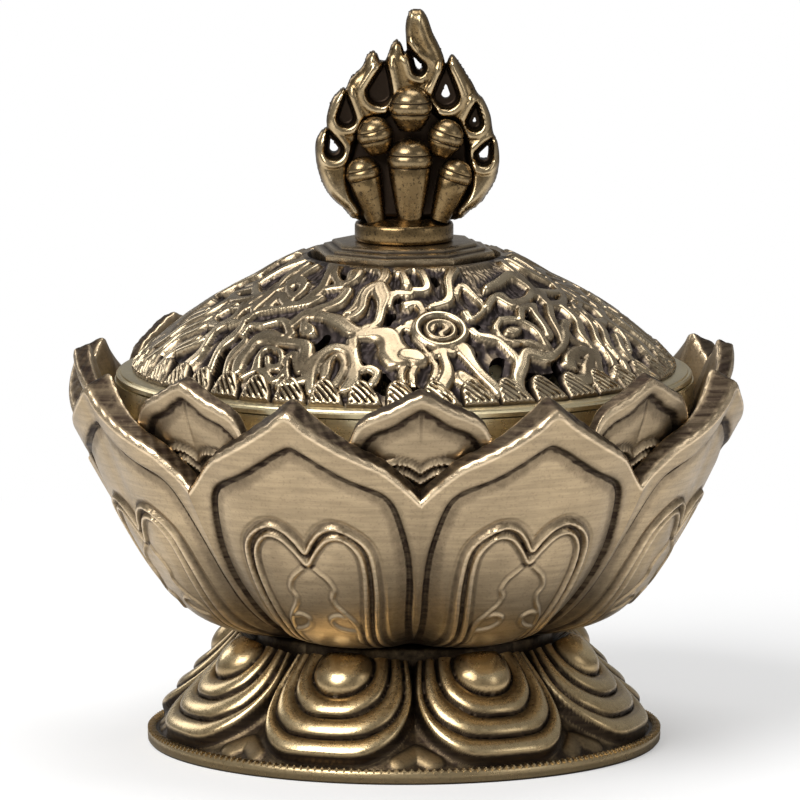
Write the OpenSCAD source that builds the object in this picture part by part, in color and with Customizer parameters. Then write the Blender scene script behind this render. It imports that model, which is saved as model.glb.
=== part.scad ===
// Lotus incense burner: a cast foot, two layers of petals round a plain bowl, and a pierced
// dome lid with a flaming-jewel finial. Millimetres, +Z up, front towards -Y, and the origin
// is the middle of the foot's underside.

/* [Petals] */
// Number of petals in each layer and on the foot
petals = 8; // [6:1:10]
// Turn of the outer petals about the axis, in degrees from straight ahead
petal_turn = -19.5; // [-22:0.5:22]

/* [Foot] */
// Height of the foot, up to the seat of the cup
foot_h = 16.5; // [14:0.5:20]
// Radius of the foot's coin-edged rim
foot_r = 36.1; // [34:0.1:40]
// Height of the rim's edge
rim_h = 1.9; // [1.5:0.1:2.5]
// Width of the flat ring that stands on the table
ring_w = 3.2; // [2.5:0.1:4]
// Radius of the neck under the cup
neck_r = 20.5; // [18:0.5:22]
// Wall of the foot
foot_wall = 2.4; // [2:0.1:3]
// How far the foot's petals swell out of its slope
foot_swell = 1.5; // [1:0.1:2]
// Height of the ridges round each petal of the foot
ridge_h = 1; // [0.5:0.1:1.2]

/* [Petal cups] */
// Height of the outer petals' tips above the foot
tip_h = 36.5; // [34:0.5:40]
// Height of the notches between the outer petals above the foot
notch_h = 24.5; // [22:0.5:26]
// How far the outer petals' tips stand out past the bowl's lip
tip_reach = 8; // [6:0.5:11]
// Height of the inner petals' tips above the foot
inner_tip_h = 39; // [37:0.5:43]
// Height of the notches between the inner petals above the foot
inner_notch_h = 29.5; // [28:0.5:31]
// How far the inner petals' tips stand out past the bowl's lip
inner_reach = 5.5; // [4:0.5:7]
// Wall of the outer cup
outer_wall = 2.4; // [2:0.1:2.6]
// Wall of the inner cup
inner_wall = 1.6; // [1.3:0.1:1.8]
// How far the raised border stands proud of a petal
border = 0.7; // [0.4:0.1:1]

/* [Bowl] */
// Radius of the bowl's lip
lip_r = 40.5; // [38:0.5:43]
// Height of the bowl's lip above the foot
bowl_h = 34.8; // [33:0.1:36]
// Wall of the bowl
bowl_wall = 1.5; // [1.2:0.1:1.8]
// Height of the bowl's upright lip
lip_h = 3.5; // [3:0.5:4]

/* [Lid] */
// Rise of the dome above its rim band
dome_rise = 16.5; // [15:0.5:20]
// Wall of the dome
lid_wall = 1.8; // [1.4:0.1:2.2]
// Height of the plain band round the lid's rim
band_h = 1.5; // [1:0.1:2.5]
// Depth of the skirt that centres the lid in the bowl
skirt_h = 2; // [1.5:0.1:3]
// Turn of the ornament about the axis, in degrees from straight ahead
lid_turn = 10; // [-22:0.5:22]
// Number of wave crests round the border
crests = 48; // [36:4:60]
// How far the ornament stands out of the dome
relief = 0.8; // [0.5:0.1:1.2]
// Radius of the stepped plate under the finial, across its corners
plate_r = 13.6; // [12:0.2:16]
// Height of each step of the plate
step_h = 0.6; // [0.5:0.1:1]

/* [Finial] */
// Height of the finial above the plate
finial_h = 32.6; // [28:0.2:36]
// Width of the finial across the flames
finial_w = 25.8; // [22:0.2:28]
// Thickness of the flames
flame_t = 4.4; // [3.5:0.1:6]
// Radius of the collar
collar_r = 6.9; // [6:0.1:8]
// Height of the collar
collar_h = 2.8; // [2:0.1:4]
// Radius of the largest jewels
jewel_r = 2.8; // [2.2:0.1:3.2]

/* [Holder and mat] */
// Radius of the loose holder dish
dish_r = 13; // [11:0.5:16]
// Height of the holder dish above the mat
dish_h = 5; // [4.5:0.1:7]
// Height of the holder pin above the dish
pin_h = 9; // [6:0.5:12]
// Radius of the hole for an incense stick
stick_r = 1.1; // [0.9:0.05:1.4]
// Radius of the mat on the bowl's floor
mat_r = 18.5; // [17:0.5:19]
// Thickness of the mat
mat_t = 3; // [2:0.5:3.5]

/* [Fasteners] */
// Radius of the clamp bolt
bolt_r = 2.5; // [2:0.25:3]
// Radius of the finial's screw
screw_r = 1.5; // [1.25:0.25:2]

/* [Hidden] */

// Fits: radial play of a bolt in its hole, a pressed spigot, a lid in its bowl and loose cups
bolt_play = 0.3;
spigot_play = 0.05;
lid_play = 0.4;
cup_gap = 0.5;

// How deep the plate's foot is sunk under the dome's crown, how far its root goes on below
// that, and the width of its steps
plate_sink = 0.4;
plate_root = 1.5;
step_w = 2.1;

// Seats up the axis
inner_z = foot_h + outer_wall;
liner_z = inner_z + inner_wall;
floor_z = liner_z + bowl_wall + cup_gap;
lip_z = foot_h + bowl_h;
dome_z = lip_z + band_h;
plate_z = dome_z + dome_rise - plate_sink;
finial_z = plate_z + 3 * step_h;
underplate_z = foot_h - foot_wall - 0.6;
mat_z = floor_z + mat_t;

// Fasteners
bolt_hole = bolt_r + bolt_play;
bolt_head_r = 2 * bolt_r;
bolt_head_h = 1.1 * bolt_r;
washer_t = 1;
washer_r = 2.4 * bolt_r;
nut_h = 1.6 * bolt_r;
nut_r = 1.85 * bolt_r;
boss_r = 4 * screw_r;
boss_h = 1.2;
boss_z = dome_z + dome_rise - lid_wall - boss_h;
small_washer_t = 0.8;
small_washer_r = 3 * screw_r;
screw_head_h = 1.5 * screw_r;
screw_bite = 8;

// The dome is a cap of a ball
dome_r = lip_r - 3;
ball_r = (pow(dome_r, 2) + pow(dome_rise, 2)) / (2 * dome_rise);
ball_z = dome_z + dome_rise - ball_r;
crest_r = dome_r - 2.4;
sector = 360 / 8;

// Brass tones
dark_brass = [0.35, 0.27, 0.16];
brass = [0.62, 0.50, 0.32];
pale_brass = [0.74, 0.64, 0.42];
steel = [0.66, 0.67, 0.68];

function mix(a, b, t) = a + (b - a) * t;
function unit(v) = v / norm(v);

// Point and outward normal of a cubic Bezier curve that climbs away from the axis
function curve(p, t) = pow(1 - t, 3) * p[0] + 3 * t * pow(1 - t, 2) * p[1]
    + 3 * t * t * (1 - t) * p[2] + pow(t, 3) * p[3];
function slope(p, t) = pow(1 - t, 2) * (p[1] - p[0]) + 2 * t * (1 - t) * (p[2] - p[1])
    + t * t * (p[3] - p[2]);
function side(p, t) = let (d = unit(slope(p, t))) [d.y, -d.x];
function pushed(p, t, out) = curve(p, t) + out * side(p, t);

// Stations across the petals of a ring, where shares runs from a petal's middle, 0, to its
// edge, 1: how many there are, and the share and the angle of station i
function stations(shares) = 2 * petals * (len(shares) - 1);
function step_in(i, shares) = i % (2 * (len(shares) - 1)) - (len(shares) - 1);
function share_at(i, shares) = shares[abs(step_in(i, shares))];
function angle_at(i, shares, turn) = let (k = step_in(i, shares))
    turn + 360 / petals * floor(i / (2 * (len(shares) - 1)))
    + sign(k) * shares[abs(k)] * 180 / petals;

// Closed wall round the axis: one loop of [radius, height] points at each station
module swept_wall(loops, shares, turn) {
    n = len(loops);
    m = len(loops[0]);
    points = [for (i = [0:n - 1], p = loops[i])
        let (angle = angle_at(i, shares, turn) - 90) [p.x * cos(angle), p.x * sin(angle), p.y]];
    faces = [for (i = [0:n - 1], j = [0:m - 1])
        let (a = i * m + j, b = i * m + (j + 1) % m,
             c = ((i + 1) % n) * m + (j + 1) % m, d = ((i + 1) % n) * m + j)
        each [[a, b, c], [a, c, d]]];
    polyhedron(points, faces);
}

// Meridian of a petal cup. The middle and the crease of a petal are two curves, and the
// petal's outline falls from the tip to the notch.
function meridian(mid, crease, s) = let (w = s * s, fall = pow(1 - s, 1.15))
    [mix(mid[0], crease[0], w), mix(mid[1], crease[1], w), mix(mid[2], crease[2], w),
     [mix(mid[3].x, crease[3].x, w), mix(crease[3].y, mid[3].y, fall)]];
// Relief of a petal: a raised border, and the ridge of two lobes round a low middle
function petal_relief(s, t) = let (lobe = max(s / 0.64, t / 0.7))
    t < 0.15 ? 0 : s > 0.85 || t > 0.87 ? border : lobe > 1.1 ? 0.1 : lobe > 0.95 ? 0.9 * border
    : 0.4 * border;
function cup_loop(m, s, base_z, wall, steps, back, carved) = concat(
    [[bolt_hole, base_z]],
    [for (k = [0:steps]) let (t = k / steps)
        pushed(m, t, carved ? petal_relief(s, t) : t > 0.87 ? border : 0)],
    [pushed(m, 1, -wall / 3) + [0, wall / 3]],
    [for (t = back) pushed(m, t, -wall)],
    [[bolt_hole, base_z + wall]]);
module petal_cup(mid, crease, base_z, wall, turn, steps, back, shares, carved) {
    swept_wall([for (i = [0:stations(shares) - 1]) let (s = share_at(i, shares))
        cup_loop(meridian(mid, crease, s), s, base_z, wall, steps, back, carved)],
        shares, turn);
}

outer_mid = [[0.5 * lip_r, foot_h], [0.93 * lip_r, foot_h],
    [1.07 * lip_r, foot_h + 0.52 * tip_h], [lip_r + tip_reach, foot_h + tip_h]];
outer_crease = [[0.35 * lip_r, foot_h], [0.74 * lip_r, foot_h],
    [0.94 * lip_r, foot_h + 0.55 * notch_h], [lip_r + 2.5, foot_h + notch_h]];
inner_mid = [[0.3 * lip_r, inner_z], [0.74 * lip_r, inner_z],
    [0.925 * lip_r, inner_z + 0.36 * inner_tip_h], [lip_r + inner_reach, foot_h + inner_tip_h]];
inner_crease = [inner_mid[0], inner_mid[1],
    [0.925 * lip_r, inner_mid[2].y], [lip_r + 2, foot_h + inner_notch_h]];

module outer_petals() color(brass)
    petal_cup(outer_mid, outer_crease, foot_h, outer_wall, petal_turn, 10,
        [1, 0.8, 0.6, 0.4, 0.2, 0.1, 0], [0, 0.15, 0.3, 0.45, 0.64, 0.78, 0.9, 1], true);

module inner_petals() color(brass)
    petal_cup(inner_mid, inner_crease, inner_z, inner_wall, petal_turn + 180 / petals, 8,
        [1, 0.75, 0.5, 0.375, 0.25, 0.125, 0], [0, 0.17, 0.34, 0.5, 0.67, 0.83, 1], false);

// Foot: its slope climbs from the rim to the neck, and eight petals swell out of it
foot_slope = [[foot_r - 1.2, rim_h + 0.5], [0.86 * foot_r, 0.3 * foot_h],
    [neck_r + 5, 0.55 * foot_h], [neck_r, foot_h]];
// Nested outlines of a foot petal, each a U: half width as a share of the sector, and lowest
// point as a share of the slope. The last one bounds the egg-shaped boss.
foot_outlines = [[0.95, 0.04], [0.78, 0.27], [0.62, 0.5], [0.41, 0.67]];
foot_shares = [0, 0.2, 0.41, 0.515, 0.62, 0.7, 0.78, 0.865, 0.95, 1];
foot_rows = [0, 0.04, 0.15, 0.27, 0.38, 0.5, 0.585, 0.67, 0.78, 0.9, 1];
function inset(o, s, t) =
    pow(pow(s / o[0], 3) + pow(max(0, 0.78 - t) / (0.78 - o[1]), 3), 1 / 3);
function ridges(s, t) = let (q = [for (o = foot_outlines) inset(o, s, t)])
    q[0] >= 1 ? -0.5 * ridge_h : q[3] < 1 ? 0.6 + 2.2 * ridge_h * sqrt(1 - q[3] * q[3])
    : let (k = q[2] < 1 ? 2 : q[1] < 1 ? 1 : 0)
        0.25 * k + ridge_h * sin(180 * (1 - q[k]) / (q[k + 1] - q[k]));
function petal_swell(s, t) = min(1, 10 * (1 - t)) * ridges(s, t)
    + foot_swell * (1 - 0.8 * s * s) * sin(180 * pow(t, 0.8));
function foot_loop(s) = let (hollow = foot_r - ring_w) concat(
    [[bolt_hole, foot_h]],
    [for (k = [len(foot_rows) - 1:-1:0])
        pushed(foot_slope, foot_rows[k], petal_swell(s, foot_rows[k]))],
    [[foot_r - 0.9, rim_h - 0.3], [foot_r - 0.6, rim_h], [foot_r, rim_h], [foot_r, 0],
     [hollow, 0], [hollow - 0.4, rim_h]],
    [for (t = [0.25, 0.5, 0.75]) pushed(foot_slope, t, -foot_wall - 0.8)],
    [[neck_r - foot_wall, underplate_z], [bolt_hole, underplate_z]]);
module foot() color(dark_brass)
    swept_wall([for (i = [0:stations(foot_shares) - 1]) foot_loop(share_at(i, foot_shares))],
        foot_shares, petal_turn);

// Bowl: hugs the inside of the inner petals and stands on their floor with a small pad
bowl_top = 0.78;
bowl_steps = 10;
module bowl_liner() color(pale_brass) rotate_extrude($fn = 120) polygon(concat(
    [[bolt_hole, liner_z], [0.25 * lip_r, liner_z]],
    [for (k = [0:bowl_steps]) pushed(inner_mid, bowl_top * k / bowl_steps, -inner_wall - cup_gap)],
    [[lip_r, lip_z - lip_h], [lip_r, lip_z], [lip_r - bowl_wall, lip_z],
     [lip_r - bowl_wall, lip_z - lip_h]],
    [for (k = [bowl_steps:-1:0])
        pushed(inner_mid, bowl_top * k / bowl_steps, -inner_wall - cup_gap - bowl_wall)],
    [[bolt_hole, floor_z]]));

module ring(outer, inner, h, z) translate([0, 0, z]) difference() {
    cylinder(r = outer, h = h, $fn = 64);
    translate([0, 0, -1]) cylinder(r = inner, h = h + 2, $fn = 64);
}

// Clamp: bolt, washers and nut that hold the bowl, the cups and the foot together
module clamp_bolt() color(steel) {
    head_z = floor_z + washer_t;
    end_z = underplate_z - washer_t - nut_h - 1;
    translate([0, 0, end_z]) cylinder(r = bolt_r, h = head_z - end_z + 0.5, $fn = 48);
    translate([0, 0, head_z]) difference() {
        cylinder(r = bolt_head_r, h = bolt_head_h, $fn = 48);
        translate([-bolt_head_r, -0.5, bolt_head_h - 1]) cube([2 * bolt_head_r, 1, 2]);
    }
}
module head_washer() color(steel) ring(washer_r, bolt_hole, washer_t, floor_z);
module nut_washer() color(steel) ring(washer_r, bolt_hole, washer_t, underplate_z - washer_t);
module clamp_nut() color(steel) translate([0, 0, underplate_z - washer_t - nut_h]) difference() {
    cylinder(r = nut_r, h = nut_h, $fn = 6);
    translate([0, 0, -1]) cylinder(r = bolt_r + spigot_play, h = nut_h + 2, $fn = 48);
}

// Mat: a thick ring whose lower edge is cut back to lie in the bowl's curve
mat_hole = washer_r + 1.5;
module ash_mat() color("whitesmoke") rotate_extrude($fn = 96) polygon([[mat_hole, floor_z],
    [inner_mid[0].x - 1, floor_z], [mat_r, floor_z + 0.6 * mat_t], [mat_r, mat_z],
    [mat_hole, mat_z]]);

// Holder: a loose dish that stands on the mat over the bolt's head, with a drilled pin
dish_floor = 1.4;
spigot_r = stick_r + 0.8;
module holder_dish() color(pale_brass) rotate_extrude($fn = 96) polygon([
    [spigot_r, mat_z + dish_h - dish_floor], [bolt_head_r + 1.6, mat_z + dish_h - dish_floor],
    [washer_r + 3, mat_z], [washer_r + 4.4, mat_z], [bolt_head_r + 3.6, mat_z + dish_h - dish_floor],
    [dish_r - 1, mat_z + dish_h - 0.4], [dish_r, mat_z + dish_h + 1.2],
    [dish_r - 1, mat_z + dish_h + 1.2], [dish_r - 2, mat_z + dish_h + 0.2],
    [bolt_head_r + 2, mat_z + dish_h], [spigot_r, mat_z + dish_h]]);
module holder_pin() color(pale_brass) {
    spigot = spigot_r - spigot_play;
    bottom = mat_z + dish_h - dish_floor;
    difference() {
        union() {
            translate([0, 0, bottom]) cylinder(r = spigot, h = dish_floor + 1, $fn = 48);
            translate([0, 0, mat_z + dish_h]) cylinder(r = spigot + 1, h = 1.2, $fn = 48);
            translate([0, 0, mat_z + dish_h]) cylinder(r = spigot + 0.3, h = pin_h, $fn = 48);
        }
        translate([0, 0, bottom + 1]) cylinder(r = stick_r, h = pin_h + dish_h, $fn = 48);
    }
}

// Lid ornament, drawn in plan with each sector's middle along +X and cut or raised upright
module dot(r, angle, size) rotate(angle) translate([r, 0]) circle(r = size, $fn = 32);
module hoop(r, angle, size, width) rotate(angle) translate([r, 0]) difference() {
    circle(r = size, $fn = 32);
    circle(r = size - width, $fn = 32);
}
// Curved slot round the axis with pointed ends, as one outline
function arc(r, from, to) = [for (k = [0:3]) let (a = mix(from, to, k / 3)) r * [cos(a), sin(a)]];
module slot(r, from, to, width) {
    low = min(from, to);
    high = max(from, to);
    end = 28 * width / r;
    polygon(concat(arc(r + width / 2, low, high), [r * [cos(high + end), sin(high + end)]],
        arc(r - width / 2, high, low), [r * [cos(low - end), sin(low - end)]]));
}
module each_sector() for (k = [0:7]) rotate(k * sector + lid_turn - 90) children();

module raised_ornament() {
    each_sector() {
        // Wheel medallion on a ribbon that curls to both sides
        hoop(0.71 * dome_r, 0, 3.9, 0.9);
        dot(0.71 * dome_r, 0, 1.6);
        slot(0.87 * dome_r, -9, 9, 1.4);
        // Cloud scrolls between medallions
        for (s = [-1, 1]) {
            hoop(0.57 * dome_r, s * 14, 2.7, 1.1);
            slot(0.62 * dome_r, s * 3, s * 9, 1.5);
        }
        hoop(0.8 * dome_r, sector / 2, 2.9, 1.2);
        hoop(0.47 * dome_r, sector / 2, 2.2, 0.9);
        slot(0.69 * dome_r, sector / 2 - 5, sector / 2 + 5, 1.5);
    }
    for (k = [0:crests - 1]) slot_crest(k * 360 / crests);
}
module slot_crest(angle) rotate(angle) {
    translate([crest_r, 0]) circle(r = 1.95 * 48 / crests, $fn = 32);
    translate([crest_r, -1.95 * 48 / crests]) square([2.4, 3.9 * 48 / crests]);
}
module piercings() each_sector() {
    for (s = [-1, 1]) {
        slot(0.83 * dome_r, s * 9.5, s * 16.5, 3.2);
        slot(0.71 * dome_r, s * 11.5, s * 16.5, 2.6);
        dot(0.57 * dome_r, s * 14, 1);
        slot(0.48 * dome_r, s * 4, s * 12, 1.9);
    }
    slot(0.57 * dome_r, -4, 4, 2);
    dot(0.8 * dome_r, sector / 2, 1);
    dot(0.71 * dome_r, 0, 0.7);
}

module lid_dome() color(dark_brass) difference() {
    union() {
        translate([0, 0, lip_z]) cylinder(r = lip_r, h = band_h, $fn = 120);
        translate([0, 0, lip_z - skirt_h])
            cylinder(r = lip_r - bowl_wall - lid_play, h = skirt_h + 1, $fn = 120);
        intersection() {
            translate([0, 0, ball_z]) sphere(r = ball_r, $fn = 160);
            translate([0, 0, lip_z]) cylinder(r = dome_r, h = 2 * dome_rise, $fn = 120);
        }
        intersection() {
            translate([0, 0, ball_z]) sphere(r = ball_r + relief, $fn = 160);
            translate([0, 0, lip_z + 1]) linear_extrude(2 * dome_rise) intersection() {
                raised_ornament();
                circle(r = dome_r, $fn = 120);
            }
        }
        for (k = [0:2]) rotate(lid_turn + 90 + sector / 2)
            translate([0, 0, plate_z - plate_root])
                cylinder(r = plate_r - k * step_w, h = plate_root + (k + 1) * step_h, $fn = 8);
    }
    difference() {
        intersection() {
            translate([0, 0, ball_z]) sphere(r = ball_r - lid_wall, $fn = 160);
            translate([0, 0, lip_z - skirt_h - 1])
                cylinder(r = dome_r - lid_wall, h = 2 * dome_rise, $fn = 120);
        }
        translate([0, 0, boss_z]) cylinder(r = boss_r, h = dome_rise, $fn = 48);
    }
    translate([0, 0, lip_z - skirt_h - 1]) linear_extrude(2 * dome_rise) piercings();
    translate([0, 0, boss_z - 1]) cylinder(r = screw_r + bolt_play, h = finial_z - boss_z + 2, $fn = 48);
}

// Finial: flame tongues round a bunch of jewels, front and back alike
flame_h = finial_h - collar_h;
half_w = finial_w / 2;
// Root, bend and tip of each flame as shares of the half width and the height, and its width
// as a share of the half width
flames = [
    [[0.05, 0.55], [-0.25, 0.84], [0.12, 1.0], 0.42],
    [[-0.1, 0.68], [-0.2, 0.76], [-0.1, 0.845], 0.19],
    [[-0.3, 0.45], [-0.5, 0.68], [-0.34, 0.8], 0.36],
    [[0.35, 0.45], [0.62, 0.66], [0.47, 0.8], 0.36],
    [[-0.5, 0.36], [-0.84, 0.52], [-0.66, 0.64], 0.34],
    [[0.55, 0.36], [0.92, 0.48], [0.76, 0.6], 0.34],
    [[-0.6, 0.22], [-1.06, 0.32], [-0.86, 0.46], 0.34],
    [[0.65, 0.22], [1.12, 0.3], [0.9, 0.43], 0.34]];
// Holes between flames, as shares of the half width and the height
gaps = [[-0.32, 0.635], [0.38, 0.635], [-0.68, 0.515], [0.69, 0.5], [-0.8, 0.35], [0.8, 0.33]];
function bow(f, t) = pow(1 - t, 2) * f[0] + 2 * t * (1 - t) * f[1] + t * t * f[2];
function bow_side(f, t) = let (d = unit((1 - t) * (f[1] - f[0]) + t * (f[2] - f[1]))) [-d.y, d.x];
function tongue(f, width, steps = 8) = concat(
    [for (k = [0:steps]) let (t = k / steps) bow(f, t) + bow_side(f, t) * width / 2 * sqrt(1 - t)],
    [for (k = [steps - 1:-1:0]) let (t = k / steps)
        bow(f, t) - bow_side(f, t) * width / 2 * sqrt(1 - t)]);
function sized(p) = [p.x * half_w, p.y * flame_h];
body_edge = [[0.88 * collar_r, 0], [0.9 * half_w, 0.06 * flame_h],
    [1.22 * half_w, 0.32 * flame_h], [0.2 * half_w, 0.72 * flame_h]];

module flame_outline() difference() {
    union() {
        for (f = flames) polygon(tongue([for (k = [0:2]) sized(f[k])], f[3] * half_w));
        for (s = [0, 1]) mirror([s, 0]) polygon(concat([[0, 0]],
            [for (k = [0:12]) curve(body_edge, k / 12)], [[0, 0.72 * flame_h]]));
    }
    for (g = gaps) translate(sized(g)) circle(r = 0.058 * half_w, $fn = 24);
    translate([0, 0.78 * flame_h]) circle(r = 0.039 * half_w, $fn = 24);
}
module jewel(x, z, size, tilt) translate([x, 0, z]) rotate([0, tilt, 0]) {
    sphere(r = size, $fn = 48);
    translate([0, 0, -0.35 * size]) cylinder(r = 1.06 * size, h = 0.3 * size, $fn = 48);
}
module long_jewel(x, size, h, tilt) translate([x, 0, 0.6]) rotate([0, tilt, 0]) {
    cylinder(r1 = 0.5 * size, r2 = size, h = h, $fn = 48);
    translate([0, 0, h]) cylinder(r = 1.08 * size, h = 0.5, $fn = 48);
    translate([0, 0, h]) sphere(r = size, $fn = 48);
}
module jewels() {
    jewel(0.03 * half_w, 0.55 * flame_h, jewel_r, 0);
    for (s = [-1, 1]) {
        jewel(s * 0.38 * half_w, 0.42 * flame_h, 0.9 * jewel_r, s * 25);
        long_jewel(s * 0.28 * half_w, 0.85 * jewel_r, 0.2 * flame_h, s * 22);
    }
    long_jewel(0, jewel_r, 0.27 * flame_h, 0);
}
module finial() color(dark_brass) translate([0, 0, finial_z]) difference() {
    union() {
        rotate_extrude($fn = 64) polygon([[0, 0], [collar_r - 0.4, 0], [collar_r, 0.4],
            [collar_r, collar_h - 0.6], [collar_r - 0.6, collar_h], [collar_r - 1.6, collar_h + 0.8],
            [0, collar_h + 0.8]]);
        translate([0, 0, collar_h]) {
            rotate([90, 0, 0]) linear_extrude(flame_t, center = true) flame_outline();
            for (y = [-1, 1]) translate([0, y * 0.6 * flame_t, 0]) jewels();
        }
    }
    translate([0, 0, -1]) cylinder(r = screw_r + spigot_play, h = screw_bite + 1.5, $fn = 48);
}
module finial_screw() color(steel) {
    head_z = boss_z - small_washer_t - screw_head_h;
    translate([0, 0, head_z]) cylinder(r = screw_r, h = finial_z + screw_bite - head_z, $fn = 48);
    translate([0, 0, head_z]) difference() {
        cylinder(r = 2 * screw_r, h = screw_head_h, $fn = 48);
        translate([-2 * screw_r, -0.4, -1]) cube([4 * screw_r, 0.8, 1.8]);
    }
}
module finial_washer() color(steel)
    ring(small_washer_r, screw_r + bolt_play, small_washer_t, boss_z - small_washer_t);

foot();
outer_petals();
inner_petals();
bowl_liner();
clamp_bolt();
head_washer();
nut_washer();
clamp_nut();
ash_mat();
holder_dish();
holder_pin();
lid_dome();
finial();
finial_screw();
finial_washer();
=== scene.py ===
"""Lotus incense burner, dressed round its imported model: petals, foot, pierced lid and finial."""

import math
from collections import namedtuple

import bmesh
import bpy
import numpy as np
from bpy.props import FloatProperty, FloatVectorProperty, IntProperty, PointerProperty
from mathutils import Matrix, Vector


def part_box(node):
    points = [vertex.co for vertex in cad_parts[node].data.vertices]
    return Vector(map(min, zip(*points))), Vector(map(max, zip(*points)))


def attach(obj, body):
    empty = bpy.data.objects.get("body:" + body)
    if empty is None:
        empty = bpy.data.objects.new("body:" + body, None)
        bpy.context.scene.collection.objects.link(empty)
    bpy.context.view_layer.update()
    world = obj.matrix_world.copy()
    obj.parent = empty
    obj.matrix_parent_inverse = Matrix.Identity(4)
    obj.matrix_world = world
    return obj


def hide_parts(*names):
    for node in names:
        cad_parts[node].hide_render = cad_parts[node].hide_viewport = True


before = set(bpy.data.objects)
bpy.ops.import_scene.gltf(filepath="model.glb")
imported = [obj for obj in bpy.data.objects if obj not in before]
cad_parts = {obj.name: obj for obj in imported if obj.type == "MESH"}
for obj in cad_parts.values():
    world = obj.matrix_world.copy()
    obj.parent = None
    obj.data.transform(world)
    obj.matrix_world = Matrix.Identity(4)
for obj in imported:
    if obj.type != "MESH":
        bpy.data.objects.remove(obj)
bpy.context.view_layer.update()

bl_info = {
    "name": "Lotus Incense Burner",
    "version": (1, 0, 0),
    "blender": (4, 5, 0),
    "location": "View3D > Sidebar > Burner",
    "description": "Builds a cast brass lotus incense burner with a pierced lid",
    "category": "Object",
}

MM = 0.001


# ---------------------------------------------------------------- sizes from the frame


def node_top(node):
    """Height of a CAD node's highest point, in millimetres."""
    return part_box(node)[1].z / MM


def node_radius(node):
    """Largest distance of a CAD node from the axis, in millimetres."""
    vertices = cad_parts[node].data.vertices
    return max(math.hypot(v.co.x, v.co.y) for v in vertices) / MM


FOOT_TOP = node_top("foot")
FOOT_RIM = node_radius("foot")
LIP_RADIUS = node_radius("bowl_liner")
LIP_TOP = node_top("bowl_liner")
FINIAL_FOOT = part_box("finial")[0].z / MM
# Petals round the axis, and how far the first outer one is turned to the right of the front
PETAL_COUNT = 8
PETAL_ANGLE = 360 / PETAL_COUNT
PETAL_TURN = -19.5


# ---------------------------------------------------------------- number helpers


def mix(a, b, t):
    """The value t of the way from a to b."""
    return a + (b - a) * t


def smooth(low, high, x):
    """Smooth step from 0 at low to 1 at high."""
    t = np.clip((x - low) / (high - low), 0, 1)
    return t * t * (3 - 2 * t)


def bump(x, width):
    """Rounded ridge of height 1 at x = 0 that falls to 0 at the width."""
    t = np.clip(1 - (x / width) ** 2, 0, 1)
    return t * t * (3 - 2 * t)


def quarter_round(x, radius):
    """Rises from 0 at x = 0 to 1 at the radius, as a rounded edge does."""
    return np.sqrt(np.clip(1 - (1 - np.clip(x / radius, 0, 1)) ** 2, 0, 1))


def ridge(distance, half_width, height):
    """Round-backed strip: its height over the ground, 0 outside it."""
    return height * np.sqrt(np.clip(1 - (distance / half_width) ** 2, 0, 1))


def profile_curve(points, t):
    """Radius, height and unit outward normal on a Bezier profile of four points."""
    s = 1 - t
    weights = (s**3, 3 * t * s**2, 3 * t * t * s, t**3)
    radius, height = (sum(w * p[axis] for w, p in zip(weights, points)) for axis in (0, 1))
    steps = [[points[i + 1][k] - points[i][k] for k in (0, 1)] for i in range(3)]
    slope = [s**2 * steps[0][k] + 2 * t * s * steps[1][k] + t * t * steps[2][k] for k in (0, 1)]
    size = np.hypot(*slope)
    return radius, height, slope[1] / size, -slope[0] / size


def rounded(points, closed=False, steps=10):
    """Smooth curve through a few points, as a dense polyline."""
    p = np.array(points, float)
    n = len(p)
    out = []
    for i in range(n if closed else n - 1):
        near = np.arange(i - 1, i + 3)
        a, b, c, d = p[near % n] if closed else p[np.clip(near, 0, n - 1)]
        for t in np.arange(steps) / steps:
            out.append(0.5 * (2 * b + (c - a) * t + (2 * a - 5 * b + 4 * c - d) * t**2
                              + (3 * b - a - 3 * c + d) * t**3))
    if not closed:
        out.append(p[-1])
    return np.array(out)


def mirrored(points):
    """A curve's right half, from the middle outwards, made whole by its mirror image."""
    right = [tuple(p) for p in points]
    left = [(-x, y) for x, y in right[::-1] if abs(x) > 1e-9]
    return left + right


def line_distance(x, y, line, closed=False):
    """Distance of every point (x, y) to a polyline."""
    shape = np.shape(x)
    q = np.stack([np.ravel(x), np.ravel(y)], 1)
    a, b = line, np.roll(line, -1, 0)
    if not closed:
        a, b = a[:-1], b[:-1]
    best = np.full(len(q), 1e9)
    for start, end in zip(a, b):
        d = end - start
        length2 = max(d @ d, 1e-12)
        t = np.clip(((q - start) @ d) / length2, 0, 1)
        gap = q - start - t[:, None] * d
        best = np.minimum(best, np.einsum("ij,ij->i", gap, gap))
    return np.sqrt(best).reshape(shape)


def inside(x, y, line):
    """True where a point lies inside a closed polyline."""
    hit = np.zeros(np.shape(x), bool)
    for (x0, y0), (x1, y1) in zip(line, np.roll(line, -1, 0)):
        if y0 == y1:
            continue
        crosses = (y0 > y) != (y1 > y)
        hit ^= crosses & (x < (x1 - x0) * (y - y0) / (y1 - y0) + x0)
    return hit


def depth(x, y, line):
    """Signed distance to a closed polyline, positive inside."""
    d = line_distance(x, y, line, closed=True)
    return np.where(inside(x, y, line), d, -d)


def blurred(values, reach):
    """Grid of values softened by three box filters of the given reach in cells."""
    out = np.array(values, float)
    span = 2 * reach + 1
    for axis, n in enumerate(out.shape):
        pad = [(0, 0), (0, 0)]
        pad[axis] = (reach + 1, reach)
        for _ in range(3):
            total = np.cumsum(np.pad(out, pad, mode="edge"), axis=axis)
            high = np.take(total, np.arange(span, span + n), axis=axis)
            low = np.take(total, np.arange(n), axis=axis)
            out = (high - low) / span
    return out


def worn(lift, depth_mm, reach=5):
    """Hollow and high-spot masks of a relief: how far it lies under or over its surroundings."""
    around = blurred(lift, reach) - lift
    return np.clip(around / depth_mm, 0, 1), np.clip(-around / depth_mm, 0, 1)


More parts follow.
